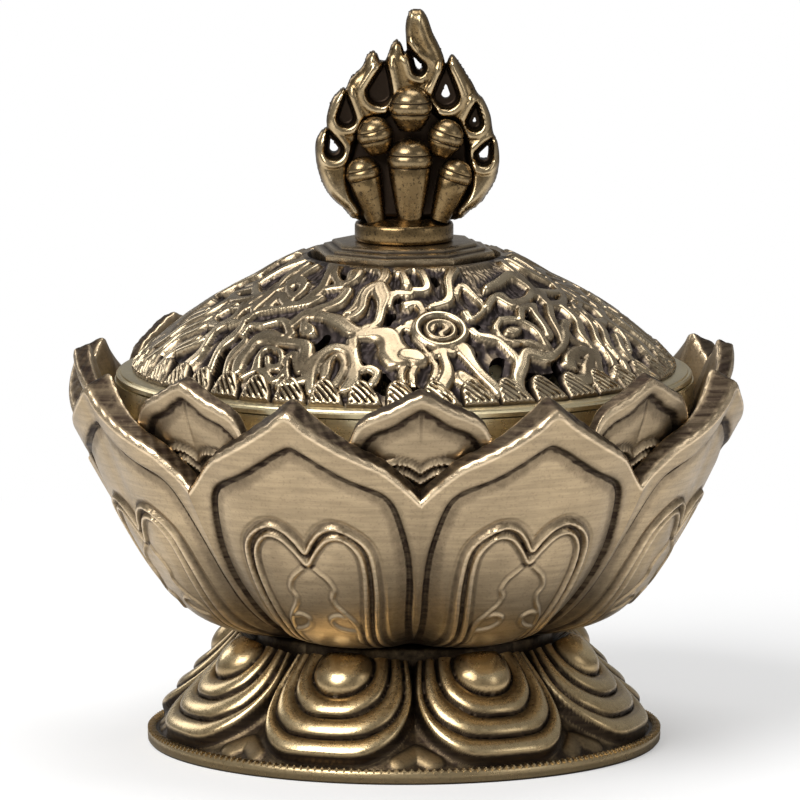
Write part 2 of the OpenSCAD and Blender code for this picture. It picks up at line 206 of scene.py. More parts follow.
# ---------------------------------------------------------------- mesh helpers


def round_axis(radius, angle, height):
    """Points at an angle in degrees to the right of the front, in millimetres."""
    a = np.radians(angle)
    return np.stack(np.broadcast_arrays(radius * np.sin(a), -radius * np.cos(a), height), -1)


def grid_faces(rows, columns, wrap_rows=False, wrap_columns=False):
    """Quads of a grid of rows x columns vertices."""
    r = np.arange(rows if wrap_rows else rows - 1)
    c = np.arange(columns if wrap_columns else columns - 1)
    i, j = np.meshgrid(r, c, indexing="ij")
    i1, j1 = (i + 1) % rows, (j + 1) % columns
    quads = np.stack([i * columns + j, i * columns + j1, i1 * columns + j1, i1 * columns + j], -1)
    return quads.reshape(-1, 4)


def add_object(name, data):
    """Object at the origin that shows a mesh, a camera or a lamp."""
    obj = bpy.data.objects.new(name, data)
    bpy.context.scene.collection.objects.link(obj)
    return obj


def make_mesh(name, points, faces, masks=None, sharp=40):
    """Object from points in millimetres, with a float attribute for each mask."""
    mesh = bpy.data.meshes.new(name)
    mesh.from_pydata((np.reshape(points, (-1, 3)) * MM).tolist(), [], [list(f) for f in faces])
    for key, values in (masks or {}).items():
        attribute = mesh.attributes.new(key, "FLOAT", "POINT")
        attribute.data.foreach_set("value", np.ravel(values).astype(np.float32))
    mesh.validate()
    finish_mesh(mesh, sharp)
    return add_object(name, mesh)


def finish_mesh(mesh, sharp):
    """Outward normals, smooth shading and sharp edges past an angle in degrees."""
    work = bmesh.new()
    work.from_mesh(mesh)
    bmesh.ops.recalc_face_normals(work, faces=work.faces)
    work.to_mesh(mesh)
    work.free()
    mesh.polygons.foreach_set("use_smooth", [True] * len(mesh.polygons))
    mesh.set_sharp_from_angle(angle=math.radians(sharp))


def place(obj, body, material, nodes=()):
    """Gives a piece its material and body, and hides the nodes that it stands for."""
    obj.data.materials.clear()
    obj.data.materials.append(material)
    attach(obj, body)
    if nodes:
        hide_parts(*nodes)


def lathe(name, profile, segments, sharp, turn=0, masks=None):
    """Solid of revolution from a closed profile of [radius, height] points."""
    angles = turn + np.arange(segments) * 360 / segments
    radius, height = np.array(profile, float).T[:, :, None]
    points = round_axis(radius, angles[None, :], height)
    faces = grid_faces(len(profile), segments, True, True)
    return make_mesh(name, points, faces.tolist(), masks, sharp)


def round_copies(first, name, count):
    """The first piece and its turned copies round the axis, each an object at the origin."""
    pieces = [first]
    for i in range(1, count):
        mesh = first.data.copy()
        mesh.transform(Matrix.Rotation(math.radians(360 * i / count), 4, "Z"))
        pieces.append(add_object(f"{name}_{i + 1}", mesh))
    return pieces


def pierced_shell(name, across, up, solid, front, back, masks, both=False):
    """Closed plate over a grid, cut where solid is negative, its cut edges drawn to the line.

    across and up are grids of plate coordinates in millimetres, front and back turn them
    into points, and masks is a pair of recess and rub grids for the front, or for both faces.
    """
    across, up, solid = (np.array(g, float) for g in (across, up, solid))
    gy, gx = np.gradient(solid)
    cell_x = np.abs(np.gradient(across)[1]) + 1e-9
    cell_y = np.abs(np.gradient(up)[0]) + 1e-9
    sx, sy = gx / cell_x, gy / cell_y
    steep = np.maximum(sx**2 + sy**2, 0.2)
    shift = -solid / steep
    near = np.abs(solid) < 0.6 * np.maximum(cell_x, cell_y)
    near[[0, -1], :] = False
    near[:, [0, -1]] = False
    limit_x, limit_y = 0.45 * cell_x, 0.45 * cell_y
    moved_x = across + np.where(near, np.clip(shift * sx, -limit_x, limit_x), 0)
    moved_y = up + np.where(near, np.clip(shift * sy, -limit_y, limit_y), 0)
    rows, columns = across.shape
    middle = (solid[:-1, :-1] + solid[1:, :-1] + solid[:-1, 1:] + solid[1:, 1:]) / 4
    kept = middle > 0
    index = np.arange(rows * columns).reshape(rows, columns)
    quads = np.stack([index[:-1, :-1], index[:-1, 1:], index[1:, 1:], index[1:, :-1]], -1)[kept]
    far = rows * columns
    walls = []
    padded = np.pad(kept, 1)
    # The two corners of each side of a cell, and the step to the cell beyond that side
    for i0, j0, i1, j1, up_step, across_step in ((0, 0, 0, 1, -1, 0), (1, 0, 1, 1, 1, 0),
                                                 (0, 0, 1, 0, 0, -1), (0, 1, 1, 1, 0, 1)):
        beside = padded[1 + up_step:rows + up_step, 1 + across_step:columns + across_step]
        r, c = np.nonzero(kept & ~beside)
        p, q = index[r + i0, c + j0], index[r + i1, c + j1]
        walls.append(np.stack([p, q, q + far, p + far], -1))
    faces = np.concatenate([quads, quads[:, ::-1] + far] + walls)
    points = np.concatenate([front(moved_x, moved_y).reshape(-1, 3),
                             back(moved_x, moved_y).reshape(-1, 3)])
    used = np.unique(faces)
    renumber = np.zeros(len(points), int)
    renumber[used] = np.arange(len(used))
    patina_and_shade, rub = (np.ravel(m) for m in masks)
    dark = np.concatenate([patina_and_shade, patina_and_shade if both else np.full(far, 0.9)])[used]
    bright = np.concatenate([rub, rub if both else np.zeros(far)])[used]
    return make_mesh(name, points[used], renumber[faces].tolist(), {"patina_and_shade": dark, "rub": bright},
                     sharp=50)


# ---------------------------------------------------------------- shader groups and finishes


def new_group(name, inputs, outputs):
    """Empty shader group with named sockets: (name, kind, default)."""
    group = bpy.data.node_groups.new(name, "ShaderNodeTree")
    kinds = {"float": "NodeSocketFloat", "color": "NodeSocketColor", "vector": "NodeSocketVector"}
    for label, kind, default in inputs:
        socket = group.interface.new_socket(label, in_out="INPUT", socket_type=kinds[kind])
        if default is not None:
            socket.default_value = default
    for label, kind in outputs:
        group.interface.new_socket(label, in_out="OUTPUT", socket_type=kinds[kind])
    return group


class Wires:
    """Short way to add nodes to a tree and to join them."""

    def __init__(self, tree):
        self.tree = tree
        self.count = 0

    def node(self, kind, inputs=None, **settings):
        """New node, with its settings and with values or links for its inputs."""
        node = self.tree.nodes.new(kind)
        node.location = (180 * (self.count % 8), -220 * (self.count // 8))
        self.count += 1
        for key, value in settings.items():
            setattr(node, key, value)
        for key, value in (inputs or {}).items():
            self.feed(node.inputs[key], value)
        return node

    def feed(self, socket, value):
        """Links an output to a socket, or sets the socket to a plain value."""
        if isinstance(value, bpy.types.NodeSocket):
            self.tree.links.new(value, socket)
        else:
            socket.default_value = value

    def group(self, name, build, inputs):
        """Node of a shader group, which is built the first time that it is needed."""
        tree = bpy.data.node_groups.get(name) or build()
        return self.node("ShaderNodeGroup", inputs, node_tree=tree)

    def math(self, operation, *values, clamp=False):
        node = self.node("ShaderNodeMath", operation=operation, use_clamp=clamp)
        for socket, value in zip(node.inputs, values):
            self.feed(socket, value)
        return node.outputs[0]

    def mix_color(self, factor, a, b):
        node = self.node("ShaderNodeMix", data_type="RGBA")
        # The factor, the two colours and the result among the node's sockets
        for socket, value in ((0, factor), (6, a), (7, b)):
            self.feed(node.inputs[socket], value)
        return node.outputs[2]

    def ramp(self, value, low, high):
        """Value stretched so that low gives 0 and high gives 1, clamped."""
        return self.node("ShaderNodeMapRange", {"Value": value, "From Min": low,
                                                "From Max": high}).outputs[0]

    def noise(self, vector, scale, detail=3.0, roughness=0.55):
        return self.node("ShaderNodeTexNoise", {"Vector": vector, "Scale": scale, "Detail": detail,
                                                "Roughness": roughness}).outputs["Fac"]


def wired(data_block):
    """Wires of a material's or a world's own tree, emptied first."""
    data_block.use_nodes = True
    data_block.node_tree.nodes.clear()
    return Wires(data_block.node_tree)


def brushed_grain_group():
    """Fine scratches that run round the axis: height of the scratches and a soft tone."""
    group = new_group("brushed_grain", [("Vector", "vector", None), ("Fineness", "float", 1.0)],
                      [("Height", "float"), ("Tone", "float")])
    w = Wires(group)
    entry = w.node("NodeGroupInput")
    xyz = w.node("ShaderNodeSeparateXYZ", {"Vector": entry.outputs["Vector"]})
    x, y, z = xyz.outputs
    angle = w.math("ARCTAN2", x, y)
    layers = []
    # Scale round the axis and up it: first the scratches, then the tone
    for turn_scale, height_scale in ((14.0, 5200.0), (5.0, 1700.0)):
        along = w.node("ShaderNodeCombineXYZ", {
            "X": w.math("MULTIPLY", angle, turn_scale),
            "Y": w.math("MULTIPLY", z, w.math("MULTIPLY", entry.outputs["Fineness"], height_scale)),
            "Z": w.math("MULTIPLY", x, 30.0)}).outputs[0]
        layers.append(w.noise(along, 1.0, 2.0, 0.6))
    w.node("NodeGroupOutput", {"Height": layers[0], "Tone": layers[1]})
    return group


def patina_group():
    """Colour and gloss of antique brass: dark in hollows and painted shade, bright where rubbed."""
    group = new_group("brass_patina_and_shade", [
        ("Vector", "vector", None), ("Shade_and_patina", "float", 0.0), ("Rub", "float", 0.0),
        ("Metal", "color", (0.5, 0.4, 0.25, 1)), ("Deep", "color", (0.03, 0.02, 0.012, 1)),
        ("Bright", "color", (0.8, 0.62, 0.35, 1)), ("Mottle", "float", 0.3),
        ("Speckle", "float", 0.2), ("Gloss", "float", 0.35)],
        [("Color", "color"), ("Roughness", "float"), ("Height", "float")])
    w = Wires(group)
    entry = w.node("NodeGroupInput")
    spot = entry.outputs
    cloud = w.noise(spot["Vector"], 130.0, 4.0, 0.6)
    fine = w.noise(spot["Vector"], 900.0, 4.0, 0.7)
    speck = w.noise(spot["Vector"], 2600.0, 2.0, 0.6)
    uneven = w.math("ADD", w.math("MULTIPLY", w.math("SUBTRACT", cloud, 0.5), 0.5),
                    w.math("MULTIPLY", w.math("SUBTRACT", fine, 0.5), 0.5))
    dark = w.ramp(w.math("ADD", spot["Shade_and_patina"], uneven), 0.1, 0.85)
    shine = w.ramp(w.math("ADD", spot["Rub"], uneven), 0.25, 0.9)
    toned = w.mix_color(w.math("MULTIPLY", w.ramp(cloud, 0.35, 0.7), spot["Mottle"]), spot["Metal"],
                        w.mix_color(0.55, spot["Metal"], spot["Deep"]))
    flecked = w.mix_color(w.math("MULTIPLY", w.ramp(speck, 0.56, 0.66), spot["Speckle"]), toned,
                          spot["Deep"])
    rubbed = w.mix_color(shine, flecked, spot["Bright"])
    colour = w.mix_color(dark, rubbed, spot["Deep"])
    rough = w.math("ADD", spot["Gloss"], w.math("MULTIPLY", dark, 0.18))
    rough = w.math("ADD", rough, w.math("MULTIPLY", w.math("SUBTRACT", fine, 0.5), 0.25))
    rough = w.math("SUBTRACT", rough, w.math("MULTIPLY", shine, 0.06), clamp=True)
    height = w.math("ADD", w.math("MULTIPLY", fine, 0.6), w.math("MULTIPLY", speck, 0.4))
    w.node("NodeGroupOutput", {"Color": colour, "Roughness": rough, "Height": height})
    return group


def antique_brass(name, metal, deep, bright, gloss=0.35, mottle=0.3, speckle=0.2, grain=0.5,
                  masked=True):
    """Cast brass with patina, scratches round the axis and small pits."""
    material = bpy.data.materials.new(name)
    w = wired(material)
    place_at = w.node("ShaderNodeTexCoord").outputs["Object"]
    # Masks: dark patina in the hollows, with painted shade on some pieces, and rubbed wear
    patina_and_shade, rub = (w.node("ShaderNodeAttribute", attribute_name=mask).outputs["Fac"] if masked
                   else 0.0 for mask in ("patina_and_shade", "rub"))
    scratches = w.group("brushed_grain", brushed_grain_group, {"Vector": place_at})
    patina = w.group("brass_patina_and_shade", patina_group, {
        "Vector": place_at, "Shade_and_patina": patina_and_shade, "Rub": rub, "Metal": (*metal, 1),
        "Deep": (*deep, 1), "Bright": (*bright, 1), "Mottle": mottle, "Speckle": speckle,
        "Gloss": gloss})
    streak = w.ramp(scratches.outputs["Tone"], 0.38, 0.66)
    colour = w.mix_color(w.math("MULTIPLY", streak, 0.5 * grain), patina.outputs["Color"],
                         (*[c * 0.45 for c in metal], 1))
    pitted = w.node("ShaderNodeBump", {"Strength": 0.175, "Distance": 0.0002,
                                       "Height": patina.outputs["Height"]})
    scratched = w.node("ShaderNodeBump", {"Strength": 0.3 * grain, "Distance": 0.0001,
                                          "Height": scratches.outputs["Height"],
                                          "Normal": pitted.outputs[0]})
    shader = w.node("ShaderNodeBsdfPrincipled", {
        "Base Color": colour, "Roughness": patina.outputs["Roughness"], "Metallic": 1.0,
        "Normal": scratched.outputs[0]})
    w.node("ShaderNodeOutputMaterial", {"Surface": shader.outputs[0]})
    return material


def fibre_material(color):
    """Felted mineral fibre: pale, matt, with a fine crossed pile."""
    material = bpy.data.materials.new("mat_fibre")
    w = wired(material)
    spot = w.node("ShaderNodeTexCoord").outputs["Object"]
    pile = w.noise(spot, 1400.0, 5.0, 0.7)
    cloud = w.noise(spot, 120.0, 3.0, 0.5)
    tone = w.mix_color(w.ramp(cloud, 0.35, 0.7), (*color, 1), (*[c * 0.78 for c in color], 1))
    tone = w.mix_color(w.math("MULTIPLY", w.ramp(pile, 0.5, 0.75), 0.5), tone,
                       (*[c * 0.6 for c in color], 1))
    raised = w.node("ShaderNodeBump", {"Strength": 0.6, "Distance": 0.0003, "Height": pile})
    shader = w.node("ShaderNodeBsdfPrincipled", {"Base Color": tone, "Roughness": 0.95,
                                                 "Normal": raised.outputs[0]})
    w.node("ShaderNodeOutputMaterial", {"Surface": shader.outputs[0]})
    return material


# ---------------------------------------------------------------- petal cups


# A cup: the curves up a petal's middle and its valley, its outline as pairs of (share of the
# way from the middle to the valley, height between notch and tip), its wall, and the thickness
# of the cut edge at the tip
Cup = namedtuple("Cup", "middle valley rim wall edge")
OUTER_TIP = 36.5
OUTER_NOTCH = 24.5
OUTER_CUP = Cup(
    [(0.5 * LIP_RADIUS, FOOT_TOP), (0.92 * LIP_RADIUS, FOOT_TOP),
     (LIP_RADIUS, FOOT_TOP + 0.54 * OUTER_TIP), (LIP_RADIUS + 8.2, FOOT_TOP + OUTER_TIP)],
    [(0.35 * LIP_RADIUS, FOOT_TOP), (0.74 * LIP_RADIUS, FOOT_TOP),
     (0.94 * LIP_RADIUS, FOOT_TOP + 0.55 * OUTER_NOTCH),
     (LIP_RADIUS + 2.5, FOOT_TOP + OUTER_NOTCH)],
    [(0, 0.985), (0.05, 0.955), (0.12, 0.86), (0.26, 0.72), (0.4, 0.595), (0.55, 0.48),
     (0.7, 0.365), (0.84, 0.19), (0.92, 0.08), (1, -0.04)], 2.4, 4.1)
# Right half of the recessed field of an outer petal: sideways and up, from its apex
OUTER_FIELD = [(0, 48.0), (1.4, 47.5), (3.0, 46.6), (4.4, 45.7), (5.9, 44.8), (8.0, 43.6),
               (10.4, 42.6), (12.0, 41.7), (13.0, 40.4), (13.5, 38.6), (13.8, 36.0), (13.9, 33.0),
               (13.6, 30.2), (12.9, 27.1), (11.8, 23.9), (10.4, 20.4), (9.2, 18.0), (8.2, 16.6)]
# Right halves of the two ridges of the double-lobed line, from the dip between the lobes
OUTER_LOBES = [[(0, 33.0), (1.2, 34.6), (2.5, 36.0), (4.2, 36.75), (5.8, 36.5), (7.6, 35.3),
                (8.6, 34.0), (9.0, 32.4), (8.95, 29.7), (8.5, 26.5), (7.7, 23.5), (6.9, 20.9),
                (6.2, 18.3), (5.8, 16.6)],
               [(0, 31.2), (1.3, 32.8), (2.4, 34.1), (3.5, 35.0), (4.9, 35.3), (6.1, 34.8),
                (7.1, 33.6), (7.6, 32.1), (7.6, 29.6), (7.1, 26.5), (6.4, 23.6), (5.6, 20.8),
                (5.0, 18.6), (4.6, 16.6)]]
# Right half of the thin line inside the lobes, and its small loop
OUTER_THREAD = [[(0.9, 30.5), (2.1, 29.5), (2.8, 28.6), (3.1, 27.4), (2.6, 26.3), (2.8, 25.2),
                 (3.7, 23.9), (4.5, 22.5), (4.6, 20.9), (4.1, 18.8)],
                [(3.7, 23.3), (2.6, 23.5), (1.6, 23.0), (1.7, 22.1), (2.6, 21.4), (4.3, 20.9)]]
# The cut edge of a petal, from its front to its back: shares of its thickness, and its masks;
# the dark mask on the flat of the edge is rough brown casting with painted shade over it
EDGE_SHARES = (0.06, 0.16, 0.3, 0.45, 0.6, 0.75, 0.88, 0.97, 1.0)
EDGE_PATINA_AND_SHADE = (0.0, 0.6, 0.85, 0.85, 0.85, 0.85, 0.7, 0.0, 0.1)
EDGE_RUB = (0.9, 0.2, 0.0, 0.0, 0.0, 0.0, 0.15, 0.8, 0.6)


def flat_valley(s, start=0.85):
    """Square of s, but level at s = 1 so that neighbouring petals join smoothly."""
    over = np.maximum(s - start, 0)
    return np.where(s < start, s * s, start**2 + 2 * start * over - start / (1 - start) * over**2)


def cup_surface(cup, side, along):
    """Radius, height and outward normal on a petal cup; side is -1..1 and along 0..1."""
    s = np.abs(side)
    w = flat_valley(s)
    points = [[mix(cup.middle[i][k], cup.valley[i][k], w) for k in (0, 1)] for i in range(4)]
    points[3][1] = mix(cup.valley[3][1], cup.middle[3][1], np.interp(s, *rounded(cup.rim).T))
    return profile_curve(points, along)


def petal_shell(name, cup, columns, rows, relief, turn):
    """One petal of a cup as a closed shell, with its relief and patina masks."""
    side = np.linspace(-1, 1, columns)[None, :]
    side, along = np.broadcast_arrays(side, np.linspace(0, 1, rows)[:, None])
    top = side[:1]
    radius, height, out_r, out_z = cup_surface(cup, side, along)
    sideways = radius * np.radians(side * PETAL_ANGLE / 2)
    tip_r, tip_z, tip_nr, tip_nz = cup_surface(cup, top, np.ones_like(top))
    outline = np.stack([tip_r[0] * np.radians(top[0] * PETAL_ANGLE / 2), tip_z[0]], -1)
    from_edge = line_distance(sideways, height, outline[::2])
    lift, patina_and_shade, rub = relief(sideways, height, from_edge)
    thick = mix(cup.edge, cup.wall, smooth(0.0, 0.6, np.abs(top)))
    # The cut edge: flat and rough, with a small round at each of its corners
    edge_r, edge_z = [], []
    for share in EDGE_SHARES:
        out = mix(lift[-1:], -thick, share)
        rough = 0.07 * np.sin(61 * top + 9 * share) * (0 < share < 1)
        over = 0.3 * (1 - abs(2 * share - 1) ** 8) + rough
        edge_r.append(tip_r + tip_nr * out - tip_nz * over)
        edge_z.append(tip_z + tip_nz * out + tip_nr * over)
    # The back, with fewer rows and its smooth wall, down to the floor
    back = np.concatenate([np.linspace(0.985, 0.7, 9), np.linspace(0.62, 0, 7)])[:, None] + 0 * top
    r2, z2, nr2, nz2 = cup_surface(cup, np.broadcast_to(top, back.shape), back)
    wall = mix(cup.wall, thick, smooth(0.72, 1.0, back))
    shell_r = np.concatenate([radius + out_r * lift] + edge_r + [r2 - nr2 * wall])
    shell_z = np.concatenate([height + out_z * lift] + edge_z + [z2 - nz2 * wall])
    total = len(shell_r)
    angle = np.broadcast_to(top, shell_r.shape) * PETAL_ANGLE / 2 + turn
    points = round_axis(shell_r, angle, shell_z)
    faces = [list(f) for f in grid_faces(total, columns, wrap_rows=True)]
    faces.append([row * columns for row in range(total)])
    faces.append([row * columns + columns - 1 for row in range(total - 1, -1, -1)])
    flat = np.zeros((1, columns))
    # The back is painted with shade that deepens from the tip down into the cup
    dark = np.concatenate([patina_and_shade] + [flat + d for d in EDGE_PATINA_AND_SHADE]
                          + [np.linspace(0.3, 0.85, len(back))[:, None] + flat])
    bright = np.concatenate([rub] + [flat + b for b in EDGE_RUB] + [np.zeros((len(back), columns))])
    return make_mesh(name, points, faces, {"patina_and_shade": dark, "rub": bright}, sharp=50)


def petal_border(f, from_edge, rise):
    """Lift and masks of a petal's raised border, dark line, pillowed field and painted shade."""
    lift = 0.5 * smooth(0.25, -0.55, f) + rise * smooth(0.2, 3.2, f) - 0.24 * bump(f - 0.1, 0.42)
    lift = lift - 0.4 * (1 - quarter_round(from_edge, 0.6))
    # Dark patina in the line at the field's edge, and a wide soft band of painted shade inside it
    patina_and_shade = 1.2 * bump(f - 0.14, 0.5) + 0.45 * bump(f - 0.5, 1.9)
    rub = 0.95 * bump(from_edge - 0.1, 0.62) + 0.25 * bump(f + 0.65, 0.5)
    return lift, patina_and_shade, rub


def field_depth(sideways, height, half, floor):
    """Signed distance inside an outline, from its right half and the height where it runs out."""
    return depth(sideways, height, np.vstack([rounded(mirrored(half)), [[5, floor], [-5, floor]]]))


def outer_relief(sideways, height, from_edge):
    """Border, recessed field and the raised lines of an outer petal, with painted shade low down.
    """
    f, m, n = (field_depth(sideways, height, line, 12) for line in (OUTER_FIELD, *OUTER_LOBES))
    thread = np.min([line_distance(x, height, rounded(line)) for x in (sideways, -sideways)
                     for line in OUTER_THREAD], axis=0)
    lift, patina_and_shade, rub = petal_border(f, from_edge, 0.32)
    between = bump((m + n) / 2, 0.36) * (m > 0) * (n < 0)
    lift = (lift + 0.5 * bump(m, 0.46) + 0.44 * bump(n, 0.44) - 0.22 * between
            - 0.14 * bump(m + 0.75, 0.6) + 0.2 * smooth(0.3, 2.4, n) + 0.26 * bump(thread, 0.36))
    # Dark patina in the grooves, and painted shade that darkens the lower petal, where the rub
    # fades
    patina_and_shade = (patina_and_shade + 1.1 * between + 0.6 * bump(m + 0.62, 0.42) + 0.55 * bump(n - 0.6, 0.36)
              + 0.35 * bump(thread - 0.5, 0.3) + 0.45 * smooth(21.5, 17.0, height))
    rub = rub + 0.75 * bump(m, 0.36) + 0.7 * bump(n, 0.34) + 0.4 * bump(thread, 0.28)
    rub = rub * smooth(15.5, 19.5, height)
    return lift * smooth(16.2, 20.5, height), np.clip(patina_and_shade, 0, 1), np.clip(rub, 0, 1)


# Inner petals stand on the outer ones' floor, behind their valleys
INNER_FLOOR = FOOT_TOP + OUTER_CUP.wall
INNER_TIP = 39
INNER_NOTCH = 29.5
INNER_CUP = Cup(
    [(0.3 * LIP_RADIUS, INNER_FLOOR), (0.74 * LIP_RADIUS, INNER_FLOOR),
     (0.925 * LIP_RADIUS, INNER_FLOOR + 0.36 * INNER_TIP),
     (LIP_RADIUS + 5.5, FOOT_TOP + INNER_TIP)],
    [(0.3 * LIP_RADIUS, INNER_FLOOR), (0.74 * LIP_RADIUS, INNER_FLOOR),
     (0.925 * LIP_RADIUS, INNER_FLOOR + 0.36 * INNER_TIP),
     (LIP_RADIUS + 2, FOOT_TOP + INNER_NOTCH)],
    [(0, 0.985), (0.05, 0.955), (0.14, 0.875), (0.21, 0.8), (0.29, 0.737), (0.37, 0.674),
     (0.446, 0.6), (0.5, 0.505), (0.55, 0.33), (0.59, 0.14), (0.63, -0.04), (0.68, -0.17),
     (0.78, -0.25), (1, -0.27)], 1.6, 2.3)
# Right halves of the field of an inner petal, and of its two waves
INNER_FIELD = [(0, 53.3), (1.0, 52.9), (2.2, 52.1), (3.4, 51.3), (4.8, 50.6), (6.1, 50.1),
               (7.2, 49.2), (7.9, 48.1), (8.3, 47.0), (8.3, 44.5), (7.6, 41.5), (6.4, 38.0)]
INNER_WAVES = [[(0, 44.6), (0.6, 45.1), (1.4, 45.7), (2.4, 46.0), (3.6, 46.1), (4.6, 45.8),
                (5.4, 45.2), (5.9, 44.4)],
               [(0, 43.3), (0.8, 43.8), (1.6, 44.3), (2.5, 44.6), (3.4, 44.6), (4.2, 44.3),
                (4.9, 43.7)]]


def inner_relief(sideways, height, from_edge):
    """Border, pillowed field and the twin waves of an inner petal, with painted shade low down."""
    f = field_depth(sideways, height, INNER_FIELD, 30)
    waves = [line_distance(sideways, height, rounded(mirrored(w))) for w in INNER_WAVES]
    lift, patina_and_shade, rub = petal_border(f, from_edge, 0.45)
    keel = bump(sideways, 0.3) * smooth(46.5, 51, height) * (f > 0.4)
    lift = lift - 0.1 * keel
    for d in waves:
        lift = lift + 0.4 * bump(d, 0.5) - 0.14 * bump(d - 0.75, 0.4)
        patina_and_shade = patina_and_shade + 0.7 * bump(d - 0.72, 0.4)
        rub = rub + 0.7 * bump(d, 0.42)
    # Dark patina in the keel's crease, and painted shade that darkens the lower petal
    patina_and_shade = patina_and_shade + 0.3 * keel + 0.25 * smooth(44.0, 40.5, height)
    return lift, np.clip(patina_and_shade, 0, 1), np.clip(rub, 0, 1)


# ---------------------------------------------------------------- foot


NECK_RADIUS = 20.5
RIM_HEIGHT = 1.9
FOOT_WALL = 2.4
FOOT_SLOPE = [(FOOT_RIM - 1.2, RIM_HEIGHT + 0.5), (0.86 * FOOT_RIM, 0.3 * FOOT_TOP),
              (NECK_RADIUS + 5, 0.55 * FOOT_TOP), (NECK_RADIUS, FOOT_TOP)]
# Rings of the rim, the neck and the hollow underside: radius, height, dark mask and rub mask;
# on the neck the dark mask is patina with painted shade under the cup
FOOT_RIM_RINGS = [
    (FOOT_RIM - 0.35, RIM_HEIGHT + 0.05, 0.6, 0.2), (FOOT_RIM - 0.75, RIM_HEIGHT + 0.1, 0.75, 0.1),
    (FOOT_RIM - 1.25, RIM_HEIGHT - 0.25, 0.95, 0), (FOOT_RIM - 1.7, RIM_HEIGHT - 0.1, 0.95, 0)]
NECK_RINGS = [(20.6, 13.4, 0.95, 0), (20.4, 14.6, 0.8, 0), (20.4, 16.0, 0.8, 0),
              (20.0, FOOT_TOP, 0.9, 0)]
UNDERSIDE_RINGS = [
    (3.5, FOOT_TOP, 0.9, 0), (3.5, FOOT_TOP - FOOT_WALL, 0.9, 0),
    (NECK_RADIUS - 4.5, FOOT_TOP - FOOT_WALL, 0.9, 0), (NECK_RADIUS - 1.8, 11.0, 0.9, 0),
    (23.5, 8.0, 0.9, 0), (27.5, 4.6, 0.9, 0), (31.8, 1.2, 0.9, 0), (32.2, 0.0, 0.9, 0),
    (FOOT_RIM - 0.4, 0.0, 0.9, 0), (FOOT_RIM - 0.1, 0.35, 0.2, 0.5),
    (FOOT_RIM - 0.05, 1.0, 0.2, 0.4), (FOOT_RIM - 0.1, RIM_HEIGHT - 0.3, 0.2, 0.5)]
# Right halves of a foot petal's nested outlines, sideways and up its slope
FOOT_OUTLINES = [
    [(0, 0.4), (3.5, 0.45), (5.6, 0.9), (7.4, 2.2), (8.9, 4.3), (9.8, 6.8), (10.2, 9.5),
     (10.2, 12.5), (9.6, 16.0), (8.6, 20.3)],
    [(0, 3.45), (2.6, 3.6), (4.8, 4.1), (6.5, 5.4), (7.9, 7.2), (8.6, 9.2), (8.9, 11.3),
     (8.8, 13.6), (8.2, 17.0), (7.4, 20.3)],
    [(0, 6.9), (2.2, 7.1), (3.8, 7.9), (5.1, 9.3), (6.1, 11.0), (6.5, 12.9), (6.6, 15.0),
     (6.3, 17.5), (5.6, 20.3)]]
# Right half of the egg at a foot petal's root
FOOT_EGG = [(0, 10.5), (1.7, 10.9), (3.1, 12.0), (4.1, 13.7), (4.3, 15.6), (3.9, 17.3), (2.6, 18.7),
            (0, 19.2)]


def foot_relief(sideways, up, side):
    """Egg boss and three nested bands of each petal of the foot, over a dark ground."""
    bounds = [depth(sideways, up, np.vstack([rounded(mirrored(half)), [[0, 26]]]))
              for half in FOOT_OUTLINES]
    egg = depth(sideways, up, rounded(mirrored(FOOT_EGG), closed=True))
    arch = 1.5 * (1 - 0.8 * side**2) * np.sin(np.pi * np.clip(up / 21.5, 0, 1) ** 0.8)
    lift = arch - 0.9 * smooth(0.6, -0.9, bounds[0])
    crown = np.zeros_like(lift)
    base = 0.0
    for outer, inner, step in ((bounds[0], bounds[1], 0.1), (bounds[1], bounds[2], 0.35),
                               (bounds[2], egg, 0.6)):
        share = np.clip(outer / np.maximum(outer + np.maximum(-inner, 0), 1e-6), 0, 1)
        band = (outer > 0) & (inner <= 0)
        lift = lift + np.where(band, step + np.sin(np.pi * share**0.8) ** 0.42, 0)
        crown += band * bump(share - 0.42, 0.42)
        base = step
    lift = lift + np.where(egg > 0, base + 2.5 * quarter_round(egg, 4.1), 0)
    # Tip of a small leaf in each gap between two petals
    tip = line_distance(np.abs(sideways) - 11.3, up - 2.2, np.array([[-1.6, -0.8], [0.4, 1.2]]))
    lift = lift + ridge(tip, 1.4, 0.4) * (bounds[0] < 0)
    seams = np.min(np.abs([*bounds, egg]), axis=0)
    # Dark patina in the seams and between the petals, painted shade at the slope's top under the
    # cup
    patina_and_shade = (0.95 * bump(seams, 0.42) + 0.8 * smooth(0.1, -0.6, bounds[0])
              + 0.35 * smooth(17.5, 20.3, up) - 0.4 * ridge(tip, 1.3, 1.0))
    rub = (0.55 * crown * smooth(19, 13, up) + 0.75 * smooth(0.6, 2.4, egg)
           + 0.2 * ridge(tip, 0.9, 1.0))
    return lift, np.clip(patina_and_shade, 0, 1), np.clip(rub, 0, 1)


